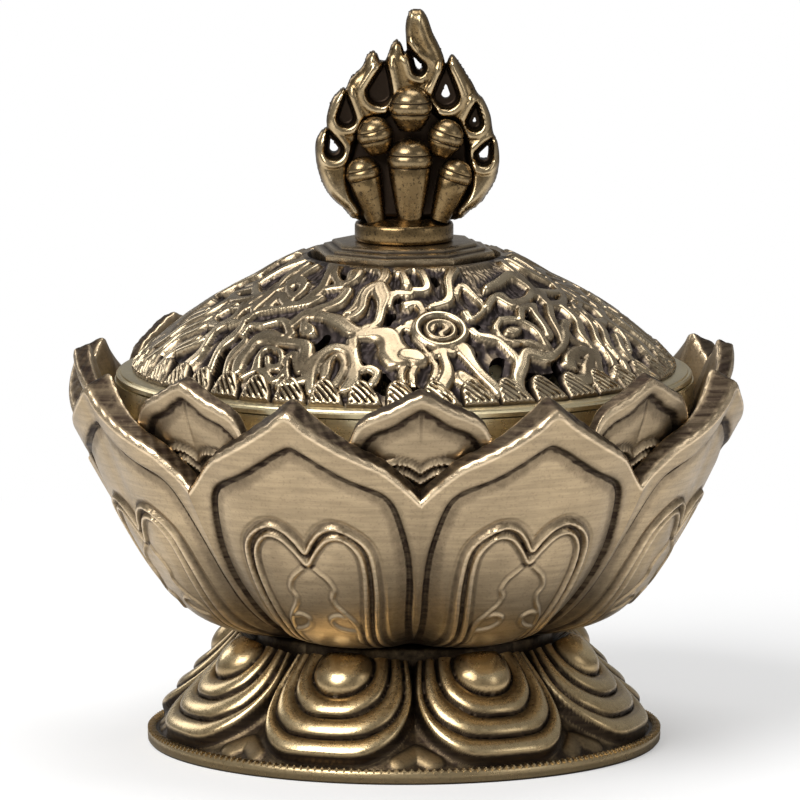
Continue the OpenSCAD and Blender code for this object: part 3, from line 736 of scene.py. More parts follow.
def foot_piece(columns, rows, turn):
    """The whole foot: slope with eight petals, upright neck, rim and a hollow underside."""
    angle = np.arange(columns * PETAL_COUNT) * PETAL_ANGLE / columns
    side = (np.arange(columns * PETAL_COUNT) % columns) / columns * 2 - 1
    side, t = np.meshgrid(side, np.linspace(0, 0.9, rows))
    radius, height, out_r, out_z = profile_curve(FOOT_SLOPE, t)
    # Way up the slope, and sideways on a petal whose half is 10.6 mm wide at a radius of 27 mm
    fine = np.linspace(0, 1, 400)
    line = profile_curve(FOOT_SLOPE, fine)
    run = np.concatenate([[0], np.cumsum(np.hypot(np.diff(line[0]), np.diff(line[1])))])
    up = np.interp(t, fine, run)
    sideways = side * 10.6 * (0.55 + 0.45 * radius / 27)
    lift, patina_and_shade, rub = foot_relief(sideways, up, side)
    # The neck swells a little over each petal
    wave = 0.7 * (1 - np.abs(side[0]) ** 2.5)

    def rings(table, swell=0):
        r, z, dark, bright = (np.outer(column, np.ones_like(wave)) for column in zip(*table))
        return r + swell, z, dark, bright

    parts = (rings(FOOT_RIM_RINGS), (radius + out_r * lift, height + out_z * lift, patina_and_shade, rub),
             rings(NECK_RINGS, wave), rings(UNDERSIDE_RINGS))
    r, z, dark, bright = (np.concatenate(grids) for grids in zip(*parts))
    points = round_axis(r, angle[None, :] + turn - PETAL_ANGLE / 2, z)
    faces = grid_faces(*r.shape, True, True)
    return make_mesh("foot_body", points, faces.tolist(), {"patina_and_shade": dark, "rub": bright}, sharp=60)


# A rib of the milled rim: its width, length and height, and the round of its edges
RIB_SIZE = (0.62, 1.15, 0.75)
RIB_ROUND = 0.2


def mill_rib():
    """One rib of the milled rim, square to the axis, with rounded ends."""
    work = bmesh.new()
    bmesh.ops.create_cube(work, size=1)
    bmesh.ops.scale(work, vec=[size * MM for size in RIB_SIZE], verts=work.verts)
    bmesh.ops.bevel(work, geom=work.edges[:], offset=RIB_ROUND * MM, segments=2, affect="EDGES")
    mesh = bpy.data.meshes.new("mill_rib")
    work.to_mesh(mesh)
    work.free()
    for key, value in (("patina_and_shade", 0.15), ("rub", 0.5)):
        mask = mesh.attributes.new(key, "FLOAT", "POINT")
        mask.data.foreach_set("value", [value] * len(mesh.vertices))
    return add_object("mill_rib", mesh)


# ---------------------------------------------------------------- lid


# The dome's radius at its rim, and the ball that it is cut from: its radius, the height of its
# middle, and its lean at the rim
DOME_RADIUS = 37.5
BALL_RADIUS = 50.86
BALL_HEIGHT = 18.44
RIM_TILT = math.asin(DOME_RADIUS / BALL_RADIUS)
LID_WALL = 1.8
RING_TOP = 52.8
PLATE_RADIUS = 13
# Way up the dome from its rim: to its end under the plate, the band that may be pierced, the
# stretch where the dome merges with the plate, and how far down the art is drawn
DOME_RUN = 28.8
PIERCED_BAND = (1.5, 27.6)
PLATE_MERGE = (27.2, 28.4)
ART_DROP = 0.6
# Angle of a sector, and the turn of the first one to the right of the front
SECTOR = 45
LID_TURN = 10

# Ribbons of the lid's sectors: half width, height, and points sideways and up from the rim
WHEEL = [
    (0.85, 1.2, [(0.2, 9.8), (-0.7, 2.7)]),
    (0.6, 1.1, [(-1.1, 9.8), (0.3, 10.2), (1.7, 9.5)]),
    (0.85, 1.1, [(2.6, 10.7), (4.3, 7.4), (5.6, 4.5), (6.7, 2.0)]),
    (0.45, 0.9, [(-3.2, 12.4), (-2.0, 9.1), (-1.8, 5.1)]),
    (1.15, 1.3, [(-5.6, 9.0), (-3.9, 9.1)]),
    (0.45, 0.8, [(-5.5, 7.3), (-6.2, 4.5)]),
    (0.45, 0.8, [(-4.3, 7.3), (-4.6, 4.5)]),
    (1.1, 1.1, [(1.8, 5.0), (2.8, 4.4)]),
    (0.6, 1.1, [(4.8, 13.9), (5.7, 12.4), (8.3, 12.0), (9.4, 9.6), (10.1, 6.8), (10.0, 2.4)]),
    (0.85, 1.2, [(10.3, 2.3), (10.7, 6.5), (12.3, 8.5), (15.9, 8.0), (17.9, 8.8), (19.9, 11.9)]),
    (0.5, 1.0, [(9.0, 15.7), (11.5, 16.0), (13.5, 13.8), (15.4, 11.0), (16.2, 9.4), (13.5, 10.3),
                (10.1, 11.6), (8.7, 13.6), (9.0, 15.7)]),
    (0.8, 0.9, [(10.7, 13.8), (11.3, 13.5)]),
    (0.85, 1.1, [(7.7, 19.0), (10.2, 20.8), (12.3, 19.0), (15.1, 20.0), (16.9, 22.3), (13.5, 24.6),
                 (9.2, 23.5)]),
    (0.75, 1.2, [(16.2, 11.9), (15.9, 15.6), (15.7, 17.8), (13.8, 17.9), (12.3, 15.9)]),
    (0.7, 1.0, [(17.5, 20.2), (18.7, 18.2), (18.9, 15.1), (18.4, 10.6)]),
    (0.7, 1.0, [(-3.6, 27.0), (-2.0, 29.4), (0.8, 29.6), (3.7, 28.6), (3.5, 24.6), (1.9, 20.5),
                (0.4, 19.6)]),
    (0.6, 1.0, [(-3.2, 24.4), (-2.8, 27.0), (-1.0, 28.0), (0.2, 26.9), (-0.6, 24.0), (-2.1, 23.5)]),
    (0.5, 0.9, [(3.6, 21.9), (5.4, 23.5), (6.8, 21.5), (6.9, 18.8), (5.4, 16.7), (4.4, 18.4)]),
    (0.6, 0.9, [(-3.3, 20.4), (-1.6, 20.9), (-1.3, 18.7), (-2.6, 16.4), (-4.0, 16.0)]),
    (0.6, 0.9, [(-5.5, 13.3), (-4.7, 15.1), (-3.3, 14.3), (-2.9, 12.4)]),
    (0.55, 0.9, [(-6.1, 20.1), (-4.4, 22.2), (-2.7, 22.7)]),
    (0.4, 0.8, [(-1.0, 14.2), (-0.4, 15.6), (0.8, 15.8), (1.2, 14.6), (0.2, 13.6), (0.8, 12.6),
                (1.9, 13.0)])]
# Rings round the middle of the wheel: half width, height and radius
WHEEL_RINGS = [(0.7, 1.3, 3.3), (0.5, 1.0, 1.9)]
WHEEL_HUB = (0.3, 14.3)
# Openings: how far each reaches round a line between two points
WHEEL_HOLES = [(1.7, [(-11.2, 7.2), (-9.0, 4.2)]), (1.3, [(-7.4, 3.4), (-3.2, 2.9)]),
               (0.6, [(3.6, 10.2), (4.3, 9.2)]), (0.9, [(7.5, 8.6), (7.6, 4.2)]),
               (1.5, [(12.6, 4.6), (16.6, 3.8)]), (0.9, [(14.4, 15.8), (16.6, 12.2)]),
               (0.5, [(1.7, 27.0), (1.9, 25.6)]), (0.6, [(5.5, 14.5), (6.2, 15.2)])]
KNOT = [
    (0.8, 1.1, [(-0.3, 14.6), (0.8, 16.4), (2.6, 17.3), (5.2, 16.9), (7.6, 15.0), (10.1, 14.3),
                (10.9, 15.2)]),
    (0.85, 1.2, [(9.0, 2.8), (7.3, 7.5), (7.5, 9.9), (9.3, 10.8), (11.7, 9.3), (13.4, 6.1),
                 (14.1, 3.3)]),
    (0.5, 1.0, [(10.2, 4.8), (8.9, 7.3), (9.4, 9.2), (11.1, 7.4), (12.3, 4.2)]),
    (0.7, 1.1, [(10.9, 12.3), (12.4, 9.0), (14.1, 7.0), (15.7, 7.1), (17.0, 5.7), (16.7, 3.9)]),
    (1.3, 1.1, [(11.4, 13.8), (13.8, 13.4), (17.0, 10.7), (19.2, 8.2)]),
    (0.75, 1.1, [(7.5, 16.6), (7.9, 19.2), (7.3, 22.6), (7.8, 24.3), (10.4, 20.9), (11.7, 16.6),
                 (10.9, 15.0)]),
    (0.7, 1.0, [(0.8, 29.6), (-1.1, 29.4), (-0.1, 27.0), (2.3, 24.3), (3.7, 24.8), (2.8, 27.5)]),
    (0.7, 1.0, [(1.5, 29.8), (4.7, 28.6), (7.2, 25.4), (6.8, 23.1), (6.7, 19.9), (6.5, 18.4)]),
    (0.9, 1.1, [(4.1, 22.3), (3.3, 19.6), (2.2, 17.2)]),
    (0.6, 1.0, [(2.8, 23.5), (-0.3, 22.8), (-0.8, 19.5)]),
    (0.8, 1.0, [(-7.0, 17.9), (-6.6, 20.0), (-3.4, 19.1), (-0.8, 19.5), (-0.6, 22.7), (-1.0, 26.9),
                (-2.0, 29.4)]),
    (0.6, 1.0, [(-6.4, 22.9), (-5.2, 23.8), (-3.1, 22.5), (-3.2, 20.9), (-5.3, 21.3),
                (-6.4, 22.9)]),
    (0.7, 1.0, [(-8.6, 16.2), (-9.0, 19.5), (-8.0, 23.7), (-7.1, 28.3)]),
    (0.6, 1.2, [(1.9, 15.1), (3.2, 14.4), (3.8, 12.8), (2.5, 13.3), (1.7, 14.9)]),
    (0.8, 1.2, [(-3.4, 5.0), (-4.4, 7.8), (-4.1, 10.3), (-1.3, 11.5), (2.4, 10.8), (5.0, 9.5),
                (7.8, 5.0), (6.9, 3.9), (4.0, 3.6)]),
    (0.55, 1.2, [(-7.2, 11.3), (-6.7, 13.4), (-4.0, 13.5), (-2.2, 14.6), (0.8, 13.1), (0.9, 11.2)]),
    (0.5, 1.1, [(-1.1, 5.3), (-2.0, 8.1), (-0.9, 9.8), (1.6, 8.9), (2.6, 6.4), (0.6, 5.8),
                (-0.3, 7.6)]),
    (0.5, 1.1, [(4.6, 4.8), (3.5, 7.6), (4.3, 8.4), (6.2, 6.0)]),
    (0.5, 1.0, [(-2.0, 3.7), (-0.6, 5.0), (2.4, 4.2), (3.5, 5.7)]),
    (0.5, 1.0, [(-3.9, 8.8), (-2.9, 11.9), (-0.1, 12.3)]),
    (0.7, 1.1, [(-14.3, 4.1), (-13.6, 7.3), (-12.9, 11.3), (-11.7, 14.3), (-12.0, 16.9)]),
    (0.7, 1.1, [(-9.3, 3.1), (-9.2, 6.7), (-8.8, 10.6), (-8.6, 13.6)]),
    (0.6, 1.0, [(-5.4, 4.0), (-6.1, 7.5), (-6.1, 9.9)]),
    (0.6, 1.0, [(-11.3, 14.3), (-10.7, 17.2), (-10.7, 19.6), (-14.9, 20.6)])]
KNOT_HOLES = [(0.9, [(-7.5, 8.0), (-7.8, 4.0)]), (0.9, [(5.9, 2.9), (7.6, 2.2)]),
              (0.9, [(15.1, 3.3), (16.7, 2.9)]), (0.7, [(1.4, 26.6), (-0.2, 24.5)]),
              (1.0, [(9.1, 23.0), (11.1, 20.9)]), (0.8, [(12.9, 17.0), (13.1, 18.3)]),
              (0.8, [(5.7, 11.0), (6.2, 12.7)])]
LEAF = [
    (0.8, 1.2, [(-7.4, 5.5), (-4.6, 8.0), (-2.6, 7.9), (-3.9, 5.8), (-6.7, 3.6), (-9.0, 3.0)]),
    (0.7, 1.0, [(-5.4, 6.8), (-5.3, 6.4)]),
    (0.75, 1.2, [(2.6, 16.5), (1.1, 13.1), (-0.7, 9.2), (-2.6, 4.8), (-3.6, 1.9)]),
    (0.6, 1.1, [(5.6, 16.4), (4.2, 12.9), (2.6, 9.4), (0.8, 5.4), (-0.2, 2.3)]),
    (0.55, 1.1, [(6.2, 14.8), (5.5, 11.3), (3.6, 7.2), (2.4, 3.6), (1.8, 1.9)]),
    (0.6, 1.0, [(-0.9, 13.5), (-3.0, 10.4), (-1.5, 8.9)]),
    (0.6, 1.1, [(-3.4, 4.9), (-4.7, 2.6), (-6.4, 2.0)]),
    (0.7, 1.0, [(9.5, 22.8), (7.8, 20.5), (4.0, 17.7), (0.7, 17.4), (1.9, 19.8)]),
    (0.7, 1.0, [(17.0, 21.0), (16.7, 18.6), (12.3, 16.7), (11.8, 14.9)]),
    (0.6, 1.0, [(7.1, 26.9), (8.1, 24.5), (11.1, 23.0)]),
    (0.7, 1.0, [(2.4, 28.5), (2.2, 25.7), (1.1, 22.8), (0.3, 20.1)]),
    (0.6, 1.1, [(11.1, 13.7), (10.3, 11.2), (9.4, 8.5), (7.8, 6.1)]),
    (0.7, 1.0, [(7.6, 9.3), (6.2, 6.0), (5.8, 3.1), (6.0, 2.0)]),
    (0.6, 1.0, [(12.1, 15.3), (11.7, 13.1), (6.7, 12.0), (5.3, 13.2)]),
    (0.6, 1.0, [(8.9, 18.0), (8.5, 16.1), (4.7, 15.1), (4.0, 16.2)])]
LEAF_HOLES = [(0.9, [(2.2, 4.6), (2.7, 2.4)]), (0.8, [(-9.2, 7.0), (-10.6, 4.1)]),
              (0.6, [(-0.9, 7.8), (-1.4, 6.5)]), (0.7, [(6.8, 19.6), (4.9, 18.9)]),
              (0.6, [(-2.7, 3.2), (-2.7, 2.2)])]
LID_ART = {"wheel": (WHEEL, WHEEL_RINGS, WHEEL_HOLES), "knot": (KNOT, (), KNOT_HOLES),
           "leaf": (LEAF, (), LEAF_HOLES)}
# Art of the eight sectors, to the right from the one nearest the front
LID_ORDER = ["wheel", "leaf", "knot", "wheel", "leaf", "knot", "leaf", "knot"]


def lid_ornament(sideways, up, art):
    """Height of a sector's ribbons, and how far each point lies in a ribbon and out of a hole."""
    ribbons, rings, holes = LID_ART[art]
    # Hand-cut unevenness, least at the medallion
    calm = 1.0
    if rings:
        calm = smooth(2.5, 6.0, np.hypot(sideways - WHEEL_HUB[0], up - WHEEL_HUB[1]))
    sway = calm * 0.45 * np.sin(0.75 * up + 0.5 * sideways)
    rise = calm * 0.4 * np.sin(0.7 * sideways - 0.5 * up + 1)
    sideways, up = sideways + sway, up + rise
    height = np.zeros_like(sideways)
    reach = np.full_like(sideways, -9.0)
    for half, tall, points in ribbons:
        line = rounded(points, steps=5)
        low, high = line.min(0) - 2, line.max(0) + 2
        near = ((sideways > low[0]) & (sideways < high[0]) & (up > low[1]) & (up < high[1]))
        if not near.any():
            continue
        d = line_distance(sideways[near], up[near], line)
        half = 1.25 * half
        crest = 0.72 * ridge(d, half, tall) - 0.12 * bump(d, 0.5 * half)
        height[near] = np.maximum(height[near], crest)
        reach[near] = np.maximum(reach[near], half - d)
    for half, tall, radius in rings:
        d = np.abs(np.hypot(sideways - WHEEL_HUB[0], up - WHEEL_HUB[1]) - radius)
        height = np.maximum(height, 0.72 * ridge(d, half, tall))
        reach = np.maximum(reach, half - d)
    gap = np.full_like(sideways, 9.0)
    for size, points in holes:
        gap = np.minimum(gap, line_distance(sideways, up, np.array(points, float)) - size)
    return height, reach, gap


def lid_sector(number, columns, rows):
    """One eighth of the pierced dome."""
    up, turn = np.meshgrid(np.linspace(0, DOME_RUN, rows),
                           np.linspace(-SECTOR / 2, SECTOR / 2, columns), indexing="ij")
    radius = BALL_RADIUS * np.sin(RIM_TILT - up / BALL_RADIUS)
    # The art of this sector and of its neighbours, which reach over the joints
    arts = [lid_ornament(np.radians(turn - step * SECTOR) * radius, up + ART_DROP,
                         LID_ORDER[(number + step) % len(LID_ORDER)]) for step in (-1, 0, 1)]
    heights, reaches, gaps = zip(*arts)
    height, reach, gap = np.max(heights, 0), np.max(reaches, 0), np.min(gaps, 0)
    ripple = np.sin(turn * 1.9 + 3 * np.sin(up * 0.9)) * np.sin(up * 1.7 + 2 * np.sin(turn * 0.5))
    ground = -0.45 + 0.35 * smooth(-0.9, 0.1, reach) + 0.1 * ripple
    lift = np.where(height > 0, np.maximum(height + 0.02, ground), ground)
    lift = mix(lift, -0.2, smooth(1.4, 0.2, up))
    patina_and_shade, rub = worn(lift, 0.55)
    dull = 0.4 * smooth(0.2, -0.3, lift)
    # The dome swells a little to meet the plate
    lift = mix(lift + 1.1 * smooth(19.0, 28.0, up), 1.2, smooth(*PLATE_MERGE, up))
    low, high = PIERCED_BAND
    solid = np.max([gap, reach - 0.02, low - up, up - high], 0)
    patina_and_shade = np.clip(0.95 * patina_and_shade + dull, 0, 1)
    middle = LID_TURN + SECTOR * number

    def ball(across, high, over):
        tilt = RIM_TILT - high / BALL_RADIUS
        size = BALL_RADIUS + over
        return round_axis(size * np.sin(tilt), middle + np.degrees(across / radius),
                          BALL_HEIGHT + size * np.cos(tilt))

    return pierced_shell(f"lid_sector_{number + 1}", np.radians(turn) * radius, up, solid,
                         lambda a, v: ball(a, v, lift), lambda a, v: ball(a, v, -LID_WALL),
                         (patina_and_shade, rub))


def crest_piece():
    """One tongue of the wave border: leaning, grooved, ready to be set round the lid."""
    outline = rounded([(-2.6, -0.3), (-2.6, 1.4), (-2.45, 2.9), (-1.9, 3.9), (-0.9, 4.3),
                       (0.1, 3.9), (1.0, 2.8), (1.9, 1.5), (2.7, -0.3)], steps=6)
    x, v = np.meshgrid(np.linspace(-2.8, 2.9, 34), np.linspace(-0.35, 4.5, 28))
    d = depth(x, v, outline)
    # Grooves a millimetre apart that lean with the tongue
    slant = (x + 0.75 * v) + 0.06 * v * v
    grooves = 0.5 + 0.5 * np.cos(2 * np.pi * (slant - 0.45))
    lift = 0.95 * quarter_round(d, 0.75)
    cut = smooth(0.3, 0.8, d) * smooth(0.45, 0.9, grooves)
    lift = lift - 0.42 * cut
    patina_and_shade = np.clip(0.95 * cut + 0.8 * smooth(0.35, 0.0, d), 0, 1)
    rub = np.clip(0.9 * (1 - cut) * smooth(0.15, 0.5, d), 0, 1)
    c, s = math.cos(RIM_TILT), math.sin(RIM_TILT)

    def spot(a, b, over):
        return np.stack([a, b * c - over * s, b * s + over * c], -1)

    return pierced_shell("crest", x, v, d, lambda a, b: spot(a, b, lift),
                         lambda a, b: spot(a, b, np.full_like(a, -0.5)), (patina_and_shade, rub))


def lid_ring():
    """Plain ring that rests on the bowl's lip, with its skirt inside."""
    top = LIP_TOP
    return lathe("lid_ring", [
        (38.5, top), (39.9, top), (40.3, top + 0.2), (40.3, top + 0.75), (40.05, top + 1.0),
        (39.75, top + 0.95), (39.65, top + 1.15), (39.1, top + 1.35), (37.2, top + 1.4),
        (36.0, RING_TOP + 0.5), (35.4, RING_TOP + 0.1), (36.9, top + 0.6), (36.9, top - 2.0),
        (38.3, top - 2.0), (38.5, top - 1.7)], 256, 35)


def stepped_plate():
    """Eight-sided plate in three small steps under the finial."""
    r = PLATE_RADIUS
    profile = [(4.0, 67.6), (r - 1.0, 67.6), (r - 0.1, 68.2), (r - 0.1, 69.3), (r - 0.3, 69.55),
               (r - 1.4, 69.65), (r - 1.5, 69.95), (r - 1.7, 70.05), (r - 2.6, 70.15),
               (r - 2.7, 70.45), (r - 2.95, 70.6), (r - 3.6, 70.7), (4.0, 70.7)]
    # Dark in the corners of the steps and bright on their edges
    masks = {"patina_and_shade": np.zeros((len(profile), 8)), "rub": np.zeros((len(profile), 8))}
    masks["patina_and_shade"][[0, 1, 5, 8]] = 0.8
    masks["rub"][[4, 7, 10]] = 0.7
    return lathe("lid_plate", profile, 8, 25, LID_TURN + SECTOR / 2, masks)


def ring_tree(name, material):
    """Geometry Nodes tree that sets copies of one piece round the axis."""
    tree = bpy.data.node_groups.new(name, "GeometryNodeTree")
    face = tree.interface
    face.new_socket("Geometry", in_out="INPUT", socket_type="NodeSocketGeometry")
    face.new_socket("Piece", in_out="INPUT", socket_type="NodeSocketObject")
    face.new_socket("Count", in_out="INPUT", socket_type="NodeSocketInt")
    for label in ("Radius", "Height"):
        face.new_socket(label, in_out="INPUT", socket_type="NodeSocketFloat")
    face.new_socket("Geometry", in_out="OUTPUT", socket_type="NodeSocketGeometry")
    w = Wires(tree)
    entry = w.node("NodeGroupInput").outputs
    circle = w.node("GeometryNodeMeshCircle", {"Vertices": entry["Count"],
                                               "Radius": entry["Radius"]})
    lifted = w.node("GeometryNodeTransform", {
        "Geometry": circle.outputs[0],
        "Translation": w.node("ShaderNodeCombineXYZ", {"Z": entry["Height"]}).outputs[0]})
    piece = w.node("GeometryNodeObjectInfo", {"Object": entry["Piece"]})
    spot = w.node("GeometryNodeInputPosition").outputs[0]
    x, y, _ = w.node("ShaderNodeSeparateXYZ", {"Vector": spot}).outputs
    facing = w.math("ADD", w.math("ARCTAN2", y, x), math.pi / 2)
    turned = w.node("ShaderNodeCombineXYZ", {"Z": facing})
    copies = w.node("GeometryNodeInstanceOnPoints", {
        "Points": lifted.outputs[0], "Instance": piece.outputs["Geometry"],
        "Rotation": turned.outputs[0]})
    plain = w.node("GeometryNodeRealizeInstances", {"Geometry": copies.outputs[0]})
    finished = w.node("GeometryNodeSetMaterial", {"Geometry": plain.outputs[0],
                                                  "Material": material})
    w.node("NodeGroupOutput", {"Geometry": finished.outputs[0]})
    return tree


def ring_of(name, piece, count, radius, height, material):
    """Copies of a piece round the axis as one plain mesh; radius and height in millimetres."""
    tree = ring_tree(name, material)
    holder = add_object(f"{name}_points", bpy.data.meshes.new(f"{name}_points"))
    modifier = holder.modifiers.new(name, "NODES")
    modifier.node_group = tree
    values = {"Piece": piece, "Count": count, "Radius": radius * MM, "Height": height * MM}
    for item in tree.interface.items_tree:
        if item.in_out == "INPUT" and item.name in values:
            modifier[item.identifier] = values[item.name]
    bpy.context.view_layer.update()
    graph = bpy.context.evaluated_depsgraph_get()
    mesh = bpy.data.meshes.new_from_object(holder.evaluated_get(graph))
    mesh.name = name
    obj = add_object(name, mesh)
    for leftover in (holder, piece):
        data = leftover.data
        bpy.data.objects.remove(leftover)
        bpy.data.meshes.remove(data)
    return obj


# ---------------------------------------------------------------- finial


COLLAR_RADIUS = 6.9
# Left, right, lowest and highest of the grid that the flames are cut from
FLAME_BOX = (-13.4, 14.2, 71.8, 104.2)
# Thickness of the flames' rim
FLAME_RIM = 0.35
# Outline of the flames: sideways and up
FLAME_EDGE = [(-5.8, 73.6), (-8.3, 75.2), (-10.2, 76.9), (-11.3, 78.6), (-12.1, 81.0),
              (-12.4, 83.4), (-12.2, 85.0), (-11.3, 86.3), (-10.8, 86.6), (-10.8, 88.0),
              (-10.2, 90.2), (-9.4, 91.4), (-8.5, 92.1), (-8.1, 92.0), (-7.4, 93.6), (-5.9, 95.0),
              (-5.2, 96.6), (-4.3, 97.3), (-3.7, 96.8), (-3.4, 96.0), (-2.6, 96.0), (-2.1, 97.2),
              (-1.7, 98.3), (-1.0, 98.9), (-0.5, 98.4), (-0.2, 97.8), (0.0, 97.2), (0.35, 97.3),
              (0.35, 97.9), (0.25, 99.2), (0.2, 100.8), (0.5, 102.3), (1.0, 103.05),
              (1.8, 103.15), (2.6, 102.9), (3.3, 101.8), (4.0, 99.8), (4.7, 98.4), (5.4, 96.8),
              (5.8, 95.4), (6.1, 96.0), (6.6, 96.8), (7.3, 96.2), (8.3, 94.7),
              (9.4, 93.0), (10.0, 91.8), (10.4, 91.1), (11.1, 90.4), (12.0, 88.4), (12.3, 86.6),
              (12.5, 85.6), (13.0, 84.6), (13.3, 82.4), (13.0, 80.0), (12.2, 78.2), (10.6, 76.0),
              (9.0, 74.9), (6.5, 73.6)]
# Teardrops between the flames: point, middle of the round end, its radius, and pierced or not
FLAME_DROPS = [((-2.6, 95.9), (-3.4, 91.7), 1.85, 0), ((5.9, 95.4), (5.8, 91.3), 1.85, 0.6),
               ((-8.1, 91.6), (-8.1, 88.2), 1.35, 0), ((10.1, 90.3), (9.8, 87.5), 1.2, 0.25),
               ((-10.6, 86.4), (-9.8, 83.7), 1.35, 0.6), ((12.2, 85.2), (11.1, 82.8), 1.3, 0.65),
               ((0.5, 98.0), (2.1, 95.1), 1.0, 0.45)]
# Dark hollow that holds the jewels
FLAME_WELL = [(-2.2, 90.0), (-1.6, 91.3), (1.0, 92.3), (3.6, 91.4), (4.5, 90.3), (5.0, 88.6),
              (7.8, 87.9), (8.8, 85.6), (9.5, 82.8), (9.8, 80.0), (9.4, 77.5), (8.1, 75.3),
              (6.4, 73.3), (-5.3, 73.3), (-6.7, 75.3), (-8.0, 77.8), (-8.3, 80.9), (-7.6, 83.5),
              (-6.6, 86.3), (-5.6, 88.2), (-2.7, 88.7)]
# Jewels: sideways, height and depth of the middle, radius, tail and tilt
JEWELS = [(0.9, 89.7, 2.7, 2.9, 2.2, 0), (-4.0, 85.9, 2.8, 2.5, 1.9, -14),
          (5.8, 85.6, 2.8, 2.5, 2.0, 20), (0.8, 82.4, 3.4, 3.15, 7.4, 0),
          (-5.6, 80.5, 3.0, 2.45, 6.0, -15), (7.1, 80.2, 3.0, 2.4, 5.8, 20)]


# Radius of the two grooves round a jewel's band, as a share of the jewel's radius
GROOVE = 0.93


def drop_depth(x, z, point, middle, radius):
    """Signed distance inside a teardrop."""
    p, m = np.array(point), np.array(middle)
    d = p - m
    t = np.clip(((x - m[0]) * d[0] + (z - m[1]) * d[1]) / (d @ d), 0, 1)
    return radius * (1 - t) ** 0.8 - np.hypot(x - m[0] - t * d[0], z - m[1] - t * d[1])


def flame_plate(cell):
    """Both faces of the flames, with their rolled edges, teardrops and the well for the jewels."""
    left, right, low, high = FLAME_BOX
    z, x = np.meshgrid(np.arange(low, high, cell), np.arange(left, right, cell), indexing="ij")
    d = depth(x, z, rounded(FLAME_EDGE, closed=True, steps=4))
    thick = 2.0 + 2.2 * smooth(86, 74, z)
    lift = FLAME_RIM + (thick - FLAME_RIM) * quarter_round(d, 1.5)
    solid = d
    drops = np.full_like(x, -9.0)
    for point, middle, radius, pierced in FLAME_DROPS:
        inside_drop = drop_depth(x, z, point, middle, radius)
        drops = np.maximum(drops, inside_drop)
        if pierced:
            solid = np.minimum(solid, radius - pierced - inside_drop)
    well = depth(x, z, rounded(FLAME_WELL, closed=True, steps=5))
    lift = lift - 1.3 * smooth(-0.25, 0.5, drops) + 0.35 * bump(drops + 0.7, 0.7)
    lift = lift - 1.1 * smooth(-0.2, 0.9, well)
    tongue = line_distance(x, z, rounded([(1.7, 102.6), (1.5, 100.2), (2.4, 97.6), (3.8, 95.0),
                                          (3.2, 93.2)]))
    lift = lift - 0.3 * bump(tongue, 0.7)
    lift = np.maximum(lift, 0.3)
    patina_and_shade, rub = worn(lift, 0.9)
    # Dark patina in the hollows, drops and well, and the flames darker towards the bottom
    patina_and_shade = np.clip(1.6 * patina_and_shade + 0.75 * smooth(-0.1, 0.4, drops)
                     + 0.85 * smooth(0.0, 0.8, well) + 0.3 * smooth(84, 76, z), 0, 1)

    def face(sign):
        return lambda a, b: np.stack([a, sign * lift, b], -1)

    return pierced_shell("flames", x, z, solid, face(-1), face(1), (patina_and_shade, rub), both=True)


def jewel_profile(radius, tail):
    """Closed outline of a jewel: a dome, a band between two grooves, and a tapering tail."""
    r = radius
    dome = [math.radians(a) for a in range(12, 73, 12)]
    outline = [(0.0, r)] + [(r * math.sin(a), r * math.cos(a)) for a in dome]
    outline += [(r * GROOVE, r * 0.26), (r, r * 0.2), (r * 1.03, 0), (r, -r * 0.24),
                (r * GROOVE, -r * 0.3), (r * 0.96, -r * 0.36)]
    outline += [(r * (0.96 - 0.42 * t ** 1.2), -r * 0.36 - tail * t)
                for t in (0.25, 0.5, 0.75, 1.0)]
    return outline + [(0.0, -r * 0.36 - tail)]


def jewel(name, middle, radius, tail, tilt, face):
    """Jewel set on the front (face -1) or the back (face 1) of the flames."""
    profile = jewel_profile(radius, tail)
    segments = 40
    angles = np.arange(segments) * 2 * np.pi / segments
    ring = profile[1:-1]
    r, h = np.array(ring).T[:, :, None]
    body = np.stack(np.broadcast_arrays(r * np.cos(angles), r * np.sin(angles), h), -1)
    body = body.reshape(-1, 3)
    points = np.vstack([body, [[0, 0, profile[0][1]], [0, 0, profile[-1][1]]]])
    faces = grid_faces(len(ring), segments, False, True).tolist()
    top, low, last = len(body), len(body) + 1, (len(ring) - 1) * segments
    faces += [[top, (j + 1) % segments, j] for j in range(segments)]
    faces += [[low, last + j, last + (j + 1) % segments] for j in range(segments)]
    t = math.radians(tilt)
    x, y, z = points.T
    turned = np.stack([x * math.cos(t) + z * math.sin(t), y, z * math.cos(t) - x * math.sin(t)], -1)
    groove = np.isclose(np.hypot(x, y), GROOVE * radius, atol=0.01)
    placed = turned + [middle[0], face * middle[2], middle[1]]
    patina_and_shade = np.where(groove, 1.0, 0.15)
    rub = np.where(groove, 0.0, np.where(z > -0.3 * radius, 0.4, 0.2))
    return make_mesh(name, placed, faces, {"patina_and_shade": patina_and_shade, "rub": rub}, sharp=65)


def finial_collar():
    """Round collar under the flames, with the screw's hole in its foot."""
    base, r = FINIAL_FOOT, COLLAR_RADIUS
    return lathe("finial_collar", [
        (1.7, base), (r - 0.4, base), (r - 0.05, base + 0.25), (r, base + 0.6), (r, base + 2.2),
        (r - 0.15, base + 2.55), (r - 0.5, base + 2.75), (r - 0.9, base + 2.9),
        (r - 1.5, base + 3.4), (1.7, base + 3.4)], 128, 50)


# ---------------------------------------------------------------- stage


WHITE = (1, 1, 1, 1)
# Strength of the surround as a light and in reflections; to the lens it is 1
SURROUND_LIGHT = 0.28
# Shade that burnished metal sees on the floor: its colour and strength, the distances from the
# axis over which it fades, and the distances behind the axis over which a fainter one grows
SHADE = (0.02, 0.015, 0.01, 1)
SHADE_STRENGTH = 0.72
SHADE_REACH = (0.040, 0.062)
SHADE_BEHIND = (0.02, 0.25)
